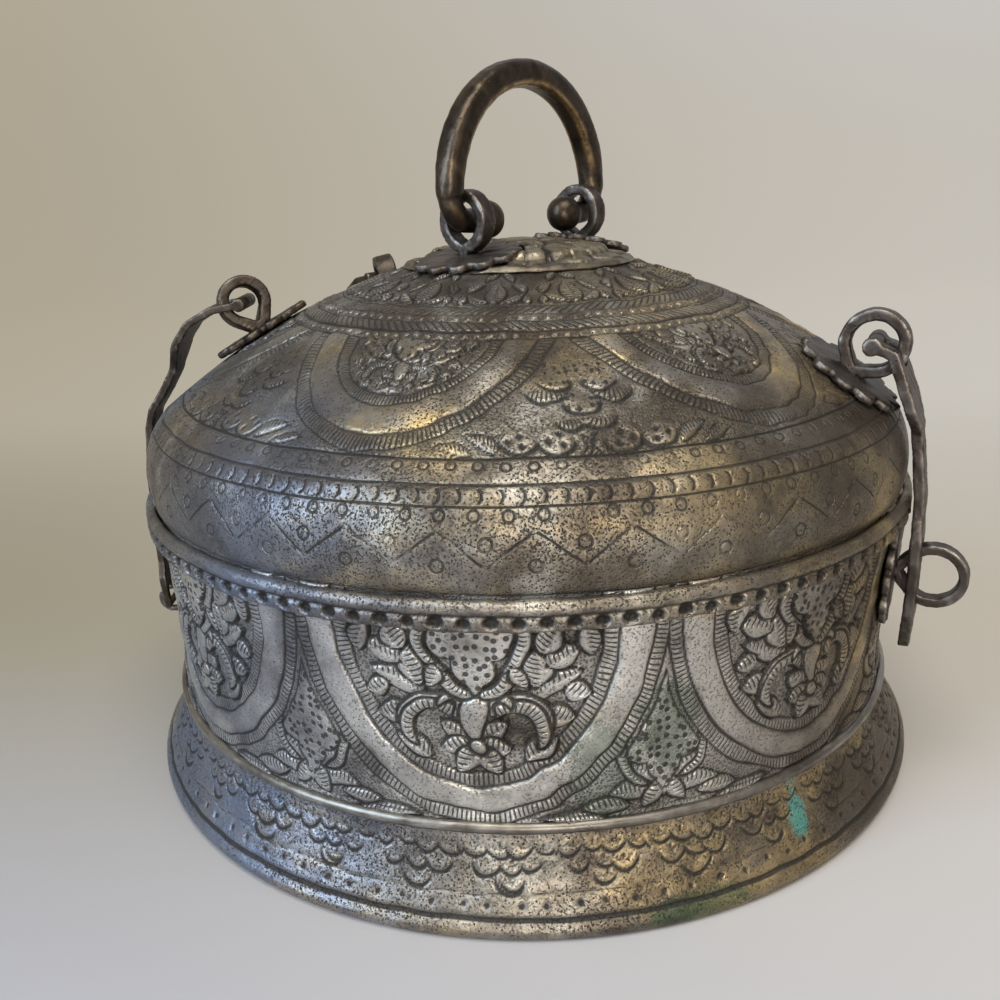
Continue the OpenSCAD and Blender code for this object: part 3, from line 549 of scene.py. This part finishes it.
def footRelief(az, along, r, z):
    art = Chasing(r)
    dx, dy = wander(az, along, 31, 0.5)
    gap = 360 / foot["clusters"]
    centre = np.round(az / gap) * gap
    x = np.radians(az - centre) * foot["radius"] + dx
    zz = z + dy * 0.8
    art.stipple += 0.3 * smooth(22.5, 20, zz) * smooth(12, 14, zz)
    for row, level in foot["rows"]:
        for k in range(-2, 3):
            at = k * foot["pitch"] if row == 1 else (k + 0.5) * foot["pitch"]
            if (row == 2 and k not in (-1, 0)) or (row == 1 and abs(k) > 1):
                continue
            at = 0 if row == 2 else at
            jog = 0.5 * np.sin(centre * 7.3 + k * 2.9 + row * 1.7)
            size = foot["scale"] * (0.92 + 0.16 * np.sin(centre * 1.9 + k))
            d = disc(x, zz, at + jog, level + jog * 0.6, size)[0]
            low = zz < level + 0.8
            art.cover(np.where(low, d, 9), 0.05 + 0.2 * smooth(level + 1, level - 3, zz), gold=0.6, line=0)
            art.groove(np.where(low, d, 9), 0.42, 0.25 + 0.95 * smooth(level + 0.3, level - 2.8, zz))
            lean = at + 0.8 * np.sin(centre * 3.7 + k * 5.1 + row)
            art.groove(np.where(zz < level - 0.2, np.hypot(x - lean, zz - level - 0.9) - 2.1, 9), 0.33, 0.6)
            art.groove(np.hypot((x - lean) * 1.7, (zz - level + 0.2)) - 0.2, 0.42, 0.95)
    art.groove(zz - foot["line"], 0.28, 0.7)
    off = (arc(az, 0, 121) / foot["dotStep"] + dx * 0.25) % 1 - 0.5
    art.groove(np.hypot(off * foot["dotStep"], z - foot["dotLevel"] + dy * 0.9), 0.75, 1.2)
    art.groove(z - foot["edge"] + dy * 0.3, 0.5, 1.6)
    art.gold += 0.5 * smooth(14, 9, z)
    around = arc(az, 0, foot["radius"])
    art.h += waves(around, z * 1.3, 23, 15) * 0.28 + waves(around, z, 6, 16) * 0.06
    art.h *= smooth(2.8, 6.5, z)
    art.cut *= smooth(3.2, 4.6, z)
    art.h = np.minimum(art.h, 0.0) * smooth(12, 4, z) + art.h * smooth(4, 12, z)
    return calm(art, az, r, [(s, z, 7, 10, 30) for s in straps])

footMetal = chasedMetal("footMetal", None, 0.8,
                        spots=(((-0.0585, -0.1045, 0.0185), (0.0040, 0.0112), "turquoise", 0.96),
                               ((-0.088, -0.086, 0.004), (0.017, 0.004), "green", 0.6)))
for k in range(4):
    sector(f"footChased{k}", footProfile, (90 * k, 90 * k + 90), int(175 / gridStep), gridStep * 1.07,
           footRelief, "box", "foot_skirt", footMetal, thick=1.0, backStep=2.0)
print("foot")

# collar: a strip with a row of punched hollows under a bead
collar = {"hollows": 118, "level": 81.7, "pitch": 6.39, "line": 83.3}
bead = [(117.9 + 2.1 * math.cos(math.radians(t)), 84.6 + 2.1 * math.sin(math.radians(t)))
        for t in range(-32, 112, 8)]
band = [(117.4, 79.05), (118.6, 79.1), (119.6, 79.7), (120, 80.7), (120, 82.4), (119.6, 83.1)]
collarProfile = np.array(band + bead)

def collarRelief(az, along, r, z):
    art = Chasing(r)
    place = az * collar["hollows"] / 360
    k = np.floor(place)
    jog = np.sin(k * 12.9898) * 0.5
    jog2 = np.sin(k * 78.233 + 1.7)
    x = (place - k - 0.5) * collar["pitch"] - jog
    d = np.hypot(x / (1 + 0.1 * jog2), (z - collar["level"] - 0.2 * jog2) * 1.12)
    art.h += -1.25 * smooth(1.95, 0.8, d) + 0.16 * np.exp(-((d - 2.3) / 0.5) ** 2)
    art.cut = 0.9 * smooth(2.1, 1.3, d)
    art.h += waves(arc(az, 0, 120), z * 2, 19, 25) * 0.16 + waves(arc(az, 0, 120), z * 2, 4, 26) * 0.06
    art.groove(z - collar["line"], 0.4, 0.8)
    art.gold += 0.15
    # pressed back behind the staple's plate
    art.h = np.minimum(art.h, 0.35) - 2.6 * smooth(0.3, -0.3, np.hypot(arc(az, 0, 118), z - 64) - 17)
    return calm(art, az, r, [(s, z, 7, 70, 90) for s in straps])

collarMetal = chasedMetal("collarMetal", None, 0.45, dark=0.12)
for k in range(4):
    sector(f"collarPunched{k}", collarProfile, (90 * k, 90 * k + 90), int(188 / gridStep), gridStep * 0.8,
           collarRelief, "box", "collar_band", collarMetal, thick=1.9, backStep=1.5)
print("collar")

# lid
lidProfile = np.concatenate([wallLine, domeLine[1:], capLine[1:26]])
lidPoints, lidAlong = resample(lidProfile, gridStep)

# how far along the profile the dome has this radius
def alongAt(target):
    dome = len(lidPoints) // 4
    return float(np.interp(-target, -lidPoints[:, 0][dome:], lidAlong[dome:]))

swag = {"count": 6, "first": 34.1, "wide": 35.2, "deep": 39.5, "top": alongAt(70.6), "hem": alongAt(105.5),
        "bands": ((0.55, 0.55), (0.64, 0.64), (0.88, 0.88))}
# rows round the lid's wall, cut as relief and struck again by the material; size is the cut, mark the strike
rings = {"upper": {"count": 108, "level": 114.0, "radius": 106.0, "shift": 0.0, "squash": 0.62,
                   "size": 1.15, "mark": 1.15},
         "lower": {"count": 95, "level": 105.3, "radius": 117.2, "shift": 0.5, "squash": 0.97,
                   "size": 1.2, "mark": 1.25}}
crescents = {"count": 150, "level": 108.95, "radius": 112.6, "squash": 0.92, "shift": 1.1, "size": 1.75}
wallLines = (110.9, 107.0)
zigzag = {"count": 34, "low": 94.3, "rise": 8.0, "radius": 118.5, "rings": ((0.5, 99.4), (0.0, 94.4))}
# bands above the swags, measured from the swags' top
topBands = {"lines": (0.0, 3.6, 8.4, 12.2, 16.6), "studs": ((1.8, 132), (10.3, 112)), "stud": 1.35}
# leaves of the crown, as the bouquet's, for one side of each of 15
crownStep = 24.0
crownLeaves = (((0, 0.6), (0, 13.5), 3.0, 0), ((1.6, 1.0), (7.6, 6.2), 1.7, -1.0),
               ((7.8, 7.0), (3.6, 12.8), 1.5, -0.8), ((9.6, 0.8), (8.4, 5.2), 1.3, 0.4),
               ((0.5, 19.5), (3.8, 14.6), 1.3, 0.5))

def lidRelief(az, along, r, z):
    art = Chasing(r)
    dx, dy = wander(az, along, 51)
    gap = 360 / swag["count"]
    centre = swag["first"] + np.round((az - swag["first"]) / gap) * gap
    p = swag["top"] - along + dy
    x = np.radians(az - centre) * r + dx
    half = np.radians(gap / 2) * r
    dome = smooth(-0.4, 0.4, p) * smooth(swag["hem"] - 0.6, swag["hem"] + 0.4, along)
    inner = Chasing(r)
    lidSpandrel(inner, half - np.abs(x), p, 0.80, 0.75)
    bands(inner, x, p, swag["wide"], swag["deep"], swag["bands"], 0.7)
    bouquet(inner, x, p, 0.56, 0.7)
    inner.h = inner.h * 0.75
    inner.stipple = inner.stipple * 0.45
    for key in ("h", "cut", "hatch", "stipple", "dots", "gold"):
        setattr(art, key, getattr(inner, key) * dome)
    art.phase = inner.phase
    # rings between the swags' hem and the lid's wall
    art.groove(along - swag["hem"], 0.5)
    for row in (rings["upper"], rings["lower"]):
        t = az * row["count"] / 360 + row["shift"]
        k = np.round(t)
        off = (t - k) * 2 * math.pi * r / row["count"] + np.sin(k * 37.7) * 0.25
        d = np.hypot(off, (z - row["level"]) / row["squash"] + dy * 0.35)
        art.h -= 0.16 * np.exp(-((d - row["size"]) / 0.3) ** 2)
    for level in wallLines:
        art.groove(z - level + dy * 0.2, 0.34, 0.75)
    t = az * crescents["count"] / 360
    u = (t - np.round(t)) * 2 * math.pi * r / crescents["count"]
    v = (z - crescents["level"]) / crescents["squash"] + dy * 0.3
    d = np.abs(np.hypot(u + crescents["shift"], v) - crescents["size"])
    art.groove(np.where((u > -0.4) & (np.abs(v) < 1.5), d, 9), 0.36, 0.8)
    # the zigzag round the wall, with a ring in each angle
    t = (az * zigzag["count"] / 360) % 1
    level = zigzag["low"] + zigzag["rise"] * np.abs(t - 0.5) * 2
    art.h -= 0.14 * np.exp(-((z - level) / 0.45) ** 2) * (z < 104) * (z > 93)
    for where, at in zigzag["rings"]:
        off = ((t - where + 0.5) % 1 - 0.5) * 2 * math.pi * zigzag["radius"] / zigzag["count"]
        art.h -= 0.14 * np.exp(-((np.hypot(off, z - at) - 1.45) / 0.3) ** 2)
    # bands above the swags
    top = along - swag["top"]
    for level in topBands["lines"]:
        art.groove(top - level + dy * 0.3, 0.42, 0.9)
    for level, count in topBands["studs"]:
        t = az * count / 360
        d = np.hypot((t - np.round(t)) * 2 * math.pi * r / count, top - level + dy * 0.3)
        art.h += 0.3 * smooth(topBands["stud"], topBands["stud"] - 0.5, d)
        art.groove(d - topBands["stud"], 0.3, 0.55)
    lean = (top > 3.6) & (top < 8.4)
    art.phase = np.where(lean, arc(az, 0, 64) / 2.3 + (top - 6) / 2.6, art.phase)
    art.hatch = np.maximum(art.hatch, smooth(3.8, 4.2, top) * smooth(8.2, 7.8, top))
    lean = (top > 12.2) & (top < 16.6)
    art.phase = np.where(lean, arc(az, 0, 57) / 2.3 - (top - 14) / 2.2, art.phase)
    art.hatch = np.maximum(art.hatch, smooth(12.4, 12.8, top) * smooth(16.4, 16.0, top))
    art.h += 0.25 * smooth(3.8, 4.6, top) * smooth(8.2, 7.4, top)
    # crown: leaves that point up from a stippled ground
    crown = top - 17.2
    on = smooth(-0.3, 0.3, crown)
    art.stipple = np.maximum(art.stipple, 0.9 * on * smooth(24, 20, crown))
    u = np.abs(np.radians(az - np.round(az / crownStep) * crownStep) * r)
    for a, b, w, bend in crownLeaves:
        d, swell, run, side = leaf(u, crown, a, b, w, bend)
        lift = 0.1 + 0.5 * swell - 0.25 * np.exp(-(side / 0.16) ** 2)
        art.cover(d + 9 * (1 - on), lift, run, 1.15, gold=0.3, where=strokes(side))
    art.h += waves(arc(az, 0, 100), along, 24, 35) * 0.32 + waves(arc(az, 0, 100), along, 8, 36) * 0.07
    art.h *= smooth(0, 3, along)
    hem = along - swag["hem"]
    art.gold += 0.25 * smooth(112, 100, z) + 0.3 * smooth(-12, 0, hem) * smooth(20, 2, hem)
    return calm(art, az, r, [(0, r, 14, 84, 119)] + [(s, r, 13, 66, 119) for s in straps])

def lidPunches(m, phi, along, z):
    level, run = z * 1000, along * 1000
    wob = (m.noise(160, 2.0) - 0.5) * 1.2
    skip = m.noise(75, 3.0, 0.6).ramp(0.40, 0.52, 0.25, 1.0)
    t = (phi * (zigzag["count"] / (2 * math.pi))).math("FRACT")
    zig = abs(t - 0.5) * 2
    line = abs(level - zigzag["low"] - zig * zigzag["rise"] + wob).ramp(0.42, 0.18)
    line = line * level.ramp(103.4, 102.8) * zig.ramp(0.97, 0.90) * zig.ramp(0.04, 0.10)
    gap = 2 * math.pi * zigzag["radius"] / zigzag["count"]
    for where, at in zigzag["rings"]:
        off = ((t - (where - 0.5)).math("FRACT") - 0.5) * gap
        ring = ((off * off + (level - at + wob * 0.5) ** 2.0).math("SQRT") - 1.5)
        line = line.math("MAXIMUM", abs(ring).ramp(0.36, 0.14) * 0.9)
    for row in (rings["lower"], rings["upper"]):
        t = (phi * (row["count"] / (2 * math.pi)) + (row["shift"] + 0.5)).math("FRACT") - 0.5
        off = t * (2 * math.pi * row["radius"] / row["count"])
        rise = (level - row["level"]) / row["squash"] + wob * 0.4
        ring = (off * off + rise ** 2.0).math("SQRT") - row["mark"]
        line = line.math("MAXIMUM", abs(ring).ramp(0.34, 0.12) * 0.9)
    # crescents between two lines, and a line at the swags' hem
    t = (phi * (crescents["count"] / (2 * math.pi)) + 0.5).math("FRACT") - 0.5
    u = t * (2 * math.pi * crescents["radius"] / crescents["count"])
    v = (level - crescents["level"]) / crescents["squash"] + wob * 0.3
    bow = abs(((u + crescents["shift"]) ** 2.0 + v * v).math("SQRT") - crescents["size"]).ramp(0.34, 0.12)
    bow = bow * abs(v).ramp(1.6, 1.3) * u.ramp(-0.5, -0.2)
    upper, lower = [abs(level - at + wob * 0.2) for at in wallLines]
    rows = upper.ramp(0.24, 0.10).math("MAXIMUM", lower.ramp(0.26, 0.10))
    rows = rows.math("MAXIMUM", abs(run - swag["hem"] + wob * 0.2).ramp(0.32, 0.12))
    # the wall is etched with fine dark pits
    etched = m.cells(1250).ramp(0.34, 0.20) * m.noise(70, 4.0, 0.65).ramp(0.38, 0.50) * level.ramp(107, 104)
    return (line * skip).math("MAXIMUM", bow * 0.95).math("MAXIMUM", rows).math("MAXIMUM", etched * 0.9)

lidMetal = chasedMetal("lidMetal", lidPunches, 0.6, dark=0.14, dotStep=3.6, tin="worn")
for k in range(8):
    start = swag["first"] - 30 + 45 * k
    sector(f"lidChased{k}", lidProfile, (start, start + 45), int(93 / 1.2 / gridStep), gridStep * 1.2,
           lidRelief, "lid", "lid_shell", lidMetal)

# the sheet under the boss is plain
def plainRelief(az, along, r, z):
    return Chasing(r)

sector("lidCap", np.array([(p[0], p[1] - 0.01) for p in capLine[24:-1]] + [(0.05, 153.0)]), (0, 360), 96, 1.0,
       plainRelief, "lid", "lid_shell", lidMetal)
print("lid")

# hardware: each solid is skinned again, softened, hammered and rubbed; carve and bend shape it further
def forge(node, material, body, slot, soft=3, hammer=0.10, carve=None, grow=0.0, bend=None):
    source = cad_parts[node]
    obj = bpy.data.objects.new(node.replace("_", " ").title().replace(" ", "") + "Forged", source.data.copy())
    scene.collection.objects.link(obj)
    if bend:
        obj.data.transform(bend)
    voxel = 0.46 * 1
    mod = obj.modifiers.new("skin", "REMESH")
    mod.mode = "VOXEL"
    mod.voxel_size = voxel * mm
    mod.use_smooth_shade = True
    sm = obj.modifiers.new("soft", "SMOOTH")
    sm.factor = 0.5
    sm.iterations = soft
    done = bpy.data.meshes.new_from_object(obj.evaluated_get(bpy.context.evaluated_depsgraph_get()))
    obj.modifiers.clear()
    obj.data = done
    n = len(done.vertices)
    co = np.zeros(n * 3)
    done.vertices.foreach_get("co", co)
    co = co.reshape(-1, 3)
    nv = np.zeros(n * 3)
    done.vertices.foreach_get("normal", nv)
    nv = nv.reshape(-1, 3)
    edges = np.zeros(len(done.edges) * 2, int)
    done.edges.foreach_get("vertices", edges)
    a, b = edges.reshape(-1, 2).T
    count = np.maximum(np.bincount(a, minlength=n) + np.bincount(b, minlength=n), 1)
    def around(v):
        return (np.bincount(a, v[b], n) + np.bincount(b, v[a], n)) / count
    # how far each point stands out of its neighbours, whatever the size of the grid
    mean = np.stack([around(co[:, k]) for k in range(3)], 1)
    curve = -((mean - co) * nv).sum(1) / (voxel ** 2 / 0.32 * mm)
    for _ in range(3):
        curve = curve * 0.4 + around(curve) * 0.6
    p = co / mm
    seed = float(sum(map(ord, node)) % 97)
    big = waves(p[:, 0] + p[:, 2] * 0.8, p[:, 1] - p[:, 2] * 0.6, 7.0, int(seed))
    small = waves(p[:, 0] - p[:, 2] * 1.1, p[:, 1] + p[:, 2] * 0.7, 2.2, int(seed) + 9)
    push = hammer * (0.65 * big + 0.35 * small) - 0.12 * hammer - 0.03 + grow
    cutIn, rub = carve(p, nv) if carve else (0.0, 0.0)
    push = push + cutIn
    done.vertices.foreach_set("co", (co + nv * (push * mm)[:, None]).astype(np.float32).ravel())
    wear = np.clip(0.5 + curve * 1.7 + 0.06 * big + rub, 0, 1)
    store(done, "wear", wear)
    done.polygons.foreach_set("use_smooth", np.ones(len(done.polygons), bool))
    done.materials.clear()
    done.materials.append(material)
    done.update()
    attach(obj, body)
    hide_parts(node)

iron = forgedMetal("forgedIron", (0.125, 0.112, 0.102), (0.50, 0.46, 0.42), (0.055, 0.040, 0.032), 0.46)
brownIron = forgedMetal("brownIron", (0.085, 0.070, 0.058), (0.34, 0.29, 0.24), (0.038, 0.028, 0.022), 0.46)
bronze = forgedMetal("darkBronze", (0.092, 0.070, 0.052), (0.34, 0.24, 0.13), (0.036, 0.029, 0.024),
                     0.38, 200)

# the hinges' eyes are folded from wider strip, and have turned a little on their plates
turnedEyes = {"seat": 81.5, "wide": 1.35, "hinge_eye_left": (straps[1], 24),
              "hinge_eye_right": (straps[0], -24)}

def turned(az, angle):
    seat = turnedEyes["seat"]
    level, low, high = [float(np.interp(-seat + off, -domeLine[:, 0], domeLine[:, 1])) for off in (0, -4, 4)]
    place = (Matrix.Rotation(math.radians(az), 4, "Z") @ Matrix.Translation(Vector((0, -seat, level)) * mm)
             @ Matrix.Rotation(math.atan2(high - low, 8), 4, "X"))
    wider = Matrix.Diagonal((turnedEyes["wide"], 1, 1, 1))
    return place @ Matrix.Rotation(math.radians(angle), 4, "Z") @ wider @ place.inverted()

lidIron = {"rosette": {"soft": 15, "hammer": 0.2}, "eye": {"hammer": 0.14, "grow": 0.3},
           "strap": {"hammer": 0.07}}
for node in ("handle_rosette_left", "handle_rosette_right", "handle_eye_left", "handle_eye_right",
             "hasp_rosette", "hasp_eye", "hinge_rosette_left", "hinge_rosette_right",
             "hinge_eye_left", "hinge_eye_right", "hinge_strap_left", "hinge_strap_right"):
    bend = turned(*turnedEyes[node]) if node in turnedEyes else None
    forge(node, brownIron if "hinge" in node else iron, "lid", "forged_iron", bend=bend,
          **lidIron[node.split("_")[1]])
forge("hasp", iron, "hasp", "forged_iron", hammer=0.2)
for node in ("staple_rosette", "staple", "hinge_foot_rosette_left", "hinge_foot_rosette_right",
             "hinge_staple_left", "hinge_staple_right"):
    forge(node, iron, "box", "forged_iron", hammer=0.14)

# the bail's bar is beaten a little square, and its inner edges are rubbed bright
bail = {"centre": (4.36, -1.13, 170.1), "along": (-0.968, 0.2504)}

def squared(p, nv):
    ax, ay = bail["along"]
    s = (p[:, 0] - bail["centre"][0]) * ax + (p[:, 1] - bail["centre"][1]) * ay
    up = p[:, 2] - bail["centre"][2]
    out = ((nv[:, 0] * ax + nv[:, 1] * ay) * s + nv[:, 2] * up) / np.maximum(np.hypot(s, up), 1)
    flat = nv[:, 0] * ay - nv[:, 1] * ax
    corner = (2 * out * flat) ** 2
    on = smooth(2, 14, up)
    return (0.5 * corner - 0.1) * on, 0.42 * corner ** 3 * smooth(0.1, -0.3, out) * on

forge("handle", bronze, "handle", "dark_bronze", soft=28, grow=0.12, carve=squared)
print("hardware")

# two rows of petals round a knob; each row is where it starts and how far it reaches
boss = {"petals": 12, "inner": (7, 12), "outer": (19, 14.5), "pitch": 0.523}

def petals(p, nv):
    r = np.hypot(p[:, 0], p[:, 1])
    ang = np.arctan2(p[:, 0], -p[:, 1])
    up = np.clip(nv[:, 2], 0, 1) ** 0.5
    second = r > boss["outer"][0]
    t = (ang * boss["petals"] / (2 * math.pi) + 0.5 * second) % 1 - 0.5
    near, far = [(r - start) / length for start, length in (boss["inner"], boss["outer"])]
    reach = np.clip(np.where(second, far, near), 0, 1)
    edge = (0.5 * np.sqrt(1 - reach ** 3) - np.abs(t)) * r * boss["pitch"]
    vein = np.exp(-(t * r * boss["pitch"] / 0.45) ** 2)
    ribs = 0.5 + 0.5 * np.cos((np.abs(t) * r * 0.7 - reach * 6) * 2 * math.pi)
    on = smooth(6, 8, r) * smooth(35.4, 34, r)
    rise = smooth(-0.2, 0.5, edge) * (0.85 * np.sqrt(np.clip(edge / 3, 0, 1)) - 0.5 * vein - 0.22 * ribs)
    rise = rise - np.exp(-(edge / 0.5) ** 2)
    rise = (rise * on + 0.6 * smooth(6.5, 4, r) - 0.8 * np.exp(-((r - 7.2) / 0.7) ** 2)) * up
    return rise - 0.35 * up + waves(p[:, 0], p[:, 1], 9, 77) * 0.16, 0.3 * rise

brassDark = forgedMetal("wornBoss", (0.20, 0.175, 0.135), (0.40, 0.34, 0.24), (0.075, 0.060, 0.048), 0.48)
forge("crown_boss", brassDark, "lid", "worn_brass", hammer=0.12, carve=petals)

# plain sheet inside, left as the solids are
def sheetMetal(name, base, dirt, light, rough):
    m = Material(name)
    x, y, z = m.axes()
    r = (x * x + y * y).math("SQRT")
    big = m.noise(26, 5.0, 0.6)
    mid = m.noise(120, 6.0, 0.65)
    scratch = m.noise(60, 3.0, 0.6, m.vector(r * 22, x.math("ARCTAN2", y) * 0.25, z * 6))
    pits = m.cells(520).ramp(0.2, 0.07) * m.noise(50, 3.0).ramp(0.5, 0.62)
    tint = (big * 0.6 + mid * 0.4).ramp(0.35, 0.65).mix(dirt, base)
    tint = (scratch.ramp(0.5, 0.75) * 0.6).mix(tint, light)
    tint = (pits * 0.8).mix(tint, tones["soot"])
    m.link("Base Color", tint)
    m.link("Metallic", (0.95 - pits * 0.4).clip())
    m.link("Roughness", (rough + mid * 0.25 + pits * 0.2 - 0.1).clip())
    m.link("Normal", m.bump(mid * 0.5 + scratch * 0.3 - pits * 0.7, 0.0002))
    return m.mat

dull = sheetMetal("dullTin", (0.36, 0.345, 0.32), (0.20, 0.18, 0.155), (0.52, 0.50, 0.47), 0.42)
beadTin = sheetMetal("beadTin", (0.31, 0.295, 0.265), (0.11, 0.095, 0.080), (0.50, 0.475, 0.43), 0.36)
knob = sheetMetal("wornBrass", (0.42, 0.335, 0.185), (0.22, 0.17, 0.10), (0.58, 0.46, 0.25), 0.36)

def paint(node, mat):
    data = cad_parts[node].data
    data.materials.clear()
    data.materials.append(mat)

cups = ["centre"] + [str(k) for k in range(1, 7)]
for node in ["floor_plate", "mouth_ring", "tray", "foot_rim_wire"] + [f"cup_{c}" for c in cups]:
    paint(node, dull)
for node in [f"cup_lid_{c}" for c in cups]:
    paint(node, knob)
paint("waist_bead", beadTin)
print("inside")

# camera and room, placed in the photograph's own axes
spin = Matrix.Rotation(math.radians(-turn), 4, "Z")

def inPhoto(x, y, z):
    return spin @ Vector((x, y, z))

view = {"at": (0, -0.3133, 0.17365), "yaw": -0.0273, "pitch": 0.3158, "roll": -0.0361, "lens": 35.03}
yaw, pitch, roll = view["yaw"], view["pitch"], view["roll"]
ahead = Vector((math.sin(yaw) * math.cos(pitch), math.cos(yaw) * math.cos(pitch), -math.sin(pitch)))
right = Vector((math.cos(yaw), -math.sin(yaw), 0))
up = right.cross(ahead)
right, up = right * math.cos(roll) + up * math.sin(roll), up * math.cos(roll) - right * math.sin(roll)
cam = bpy.data.cameras.new("camera")
cam.lens = view["lens"]
cam.sensor_width = 36
cam.clip_start = 0.01
eye = bpy.data.objects.new("camera", cam)
scene.collection.objects.link(eye)
frameAxes = Matrix([[right[k], up[k], -ahead[k]] for k in range(3)]).to_4x4()
eye.matrix_world = spin @ (Matrix.Translation(view["at"]) @ frameAxes)
scene.camera = eye
scene.render.resolution_x = scene.render.resolution_y = 1000

def lamp(name, at, aim, size, power, colour):
    data = bpy.data.lights.new(name, "AREA")
    data.shape = "RECTANGLE"
    data.size, data.size_y = size
    data.energy = power
    data.color = colour
    obj = bpy.data.objects.new(name, data)
    scene.collection.objects.link(obj)
    at, aim = inPhoto(*at), inPhoto(*aim)
    obj.location = at
    obj.rotation_euler = (aim - at).to_track_quat("-Z", "Y").to_euler()

lamp("window", (-0.85, -0.62, 0.62), (0, 0, 0.08), (0.5, 0.9), 12, (0.66, 0.82, 1.0))
lamp("ceiling", (0.05, -0.45, 1.15), (0, 0, 0.08), (0.7, 0.7), 10, (1.0, 0.95, 0.86))
lamp("front", (0.10, -1.05, 0.34), (0, 0, 0.06), (0.3, 0.4), 5.0, (1.0, 0.93, 0.82))
lamp("fill", (0.9, -0.7, 0.55), (0, 0, 0.08), (0.5, 0.7), 1.0, (1.0, 0.84, 0.64))

# paper that lies on the floor and turns up behind; lengths in metres, and the rows of each part
backdrop = {"half": 3.5, "near": -2.5, "floorStep": 0.36, "floorRows": 10, "bend": 1.1, "radius": 0.5,
            "bendRows": 8, "wallStep": 0.45, "rows": 24}
bm = bmesh.new()
bmesh.ops.create_grid(bm, x_segments=2, y_segments=backdrop["rows"], size=1)
ground = bpy.data.meshes.new("room")
bm.to_mesh(ground)
bm.free()
for v in ground.vertices:
    j = round((v.co.y + 1) / 2 * backdrop["rows"])
    bent = j - backdrop["floorRows"]
    if bent <= 0:
        y, z = backdrop["near"] + j * backdrop["floorStep"], 0
    elif bent <= backdrop["bendRows"]:
        a = bent / backdrop["bendRows"] * math.pi / 2
        y, z = backdrop["bend"] + backdrop["radius"] * math.sin(a), backdrop["radius"] * (1 - math.cos(a))
    else:
        y = backdrop["bend"] + backdrop["radius"]
        z = backdrop["radius"] + (bent - backdrop["bendRows"]) * backdrop["wallStep"]
    v.co = inPhoto(v.co.x * backdrop["half"], y, z)
ground.polygons.foreach_set("use_smooth", [True] * len(ground.polygons))
room = bpy.data.objects.new("room", ground)
scene.collection.objects.link(room)
paper = Material("paper")
px, py, pz = paper.axes()
across = px * math.cos(math.radians(turn)) - py * math.sin(math.radians(turn))
deep = px * math.sin(math.radians(turn)) + py * math.cos(math.radians(turn))
# the far floor and the wall shine softly, like paper against a window, so that no horizon shows
fan = across / (deep.math("MAXIMUM", -0.1) + 0.42)
far = deep.ramp(0.02, 0.50).math("MAXIMUM", pz.ramp(0.02, 0.2))
roomTones = {"wallFoot": ((0.365, 0.322, 0.236), (0.51, 0.478, 0.425)),
             "wallTop": ((0.405, 0.355, 0.255), (0.54, 0.555, 0.60)),
             "floorNear": ((0.335, 0.34, 0.395), (0.46, 0.445, 0.45)),
             "floorFar": ((0.27, 0.235, 0.165), (0.52, 0.49, 0.44)),
             "wall": (0.06, 0.06, 0.06), "dark": (0.0, 0.0, 0.0), "air": (0.62, 0.60, 0.57)}
lit = fan.ramp(-0.55, 0.5).mix(*roomTones["wallFoot"])
lit = pz.ramp(0.15, 1.0).mix(lit, fan.ramp(-0.55, 0.5).mix(*roomTones["wallTop"]))
# painted light and shade on the floor: its own colour is darker on the left, bluish near and yellowish
# further back, and paler on the right
near = across.ramp(-0.25, 0.2).mix(*roomTones["floorNear"])
back = fan.ramp(-0.5, 0.4).mix(*roomTones["floorFar"])
floor = deep.ramp(-0.22, 0.1).mix(near, back)
paper.link("Base Color", far.mix(floor, roomTones["wall"]))
paper.link("Emission Color", far.mix(roomTones["dark"], lit))
paper.surface.inputs["Emission Strength"].default_value = 1.0
paper.surface.inputs["Roughness"].default_value = 0.75
ground.materials.append(paper.mat)
world = bpy.data.worlds.new("air")
scene.world = world
world.use_nodes = True
world.node_tree.nodes["Background"].inputs["Color"].default_value = (*roomTones["air"], 1)
world.node_tree.nodes["Background"].inputs["Strength"].default_value = 0.45
scene.view_settings.view_transform = "Standard"
print("room")
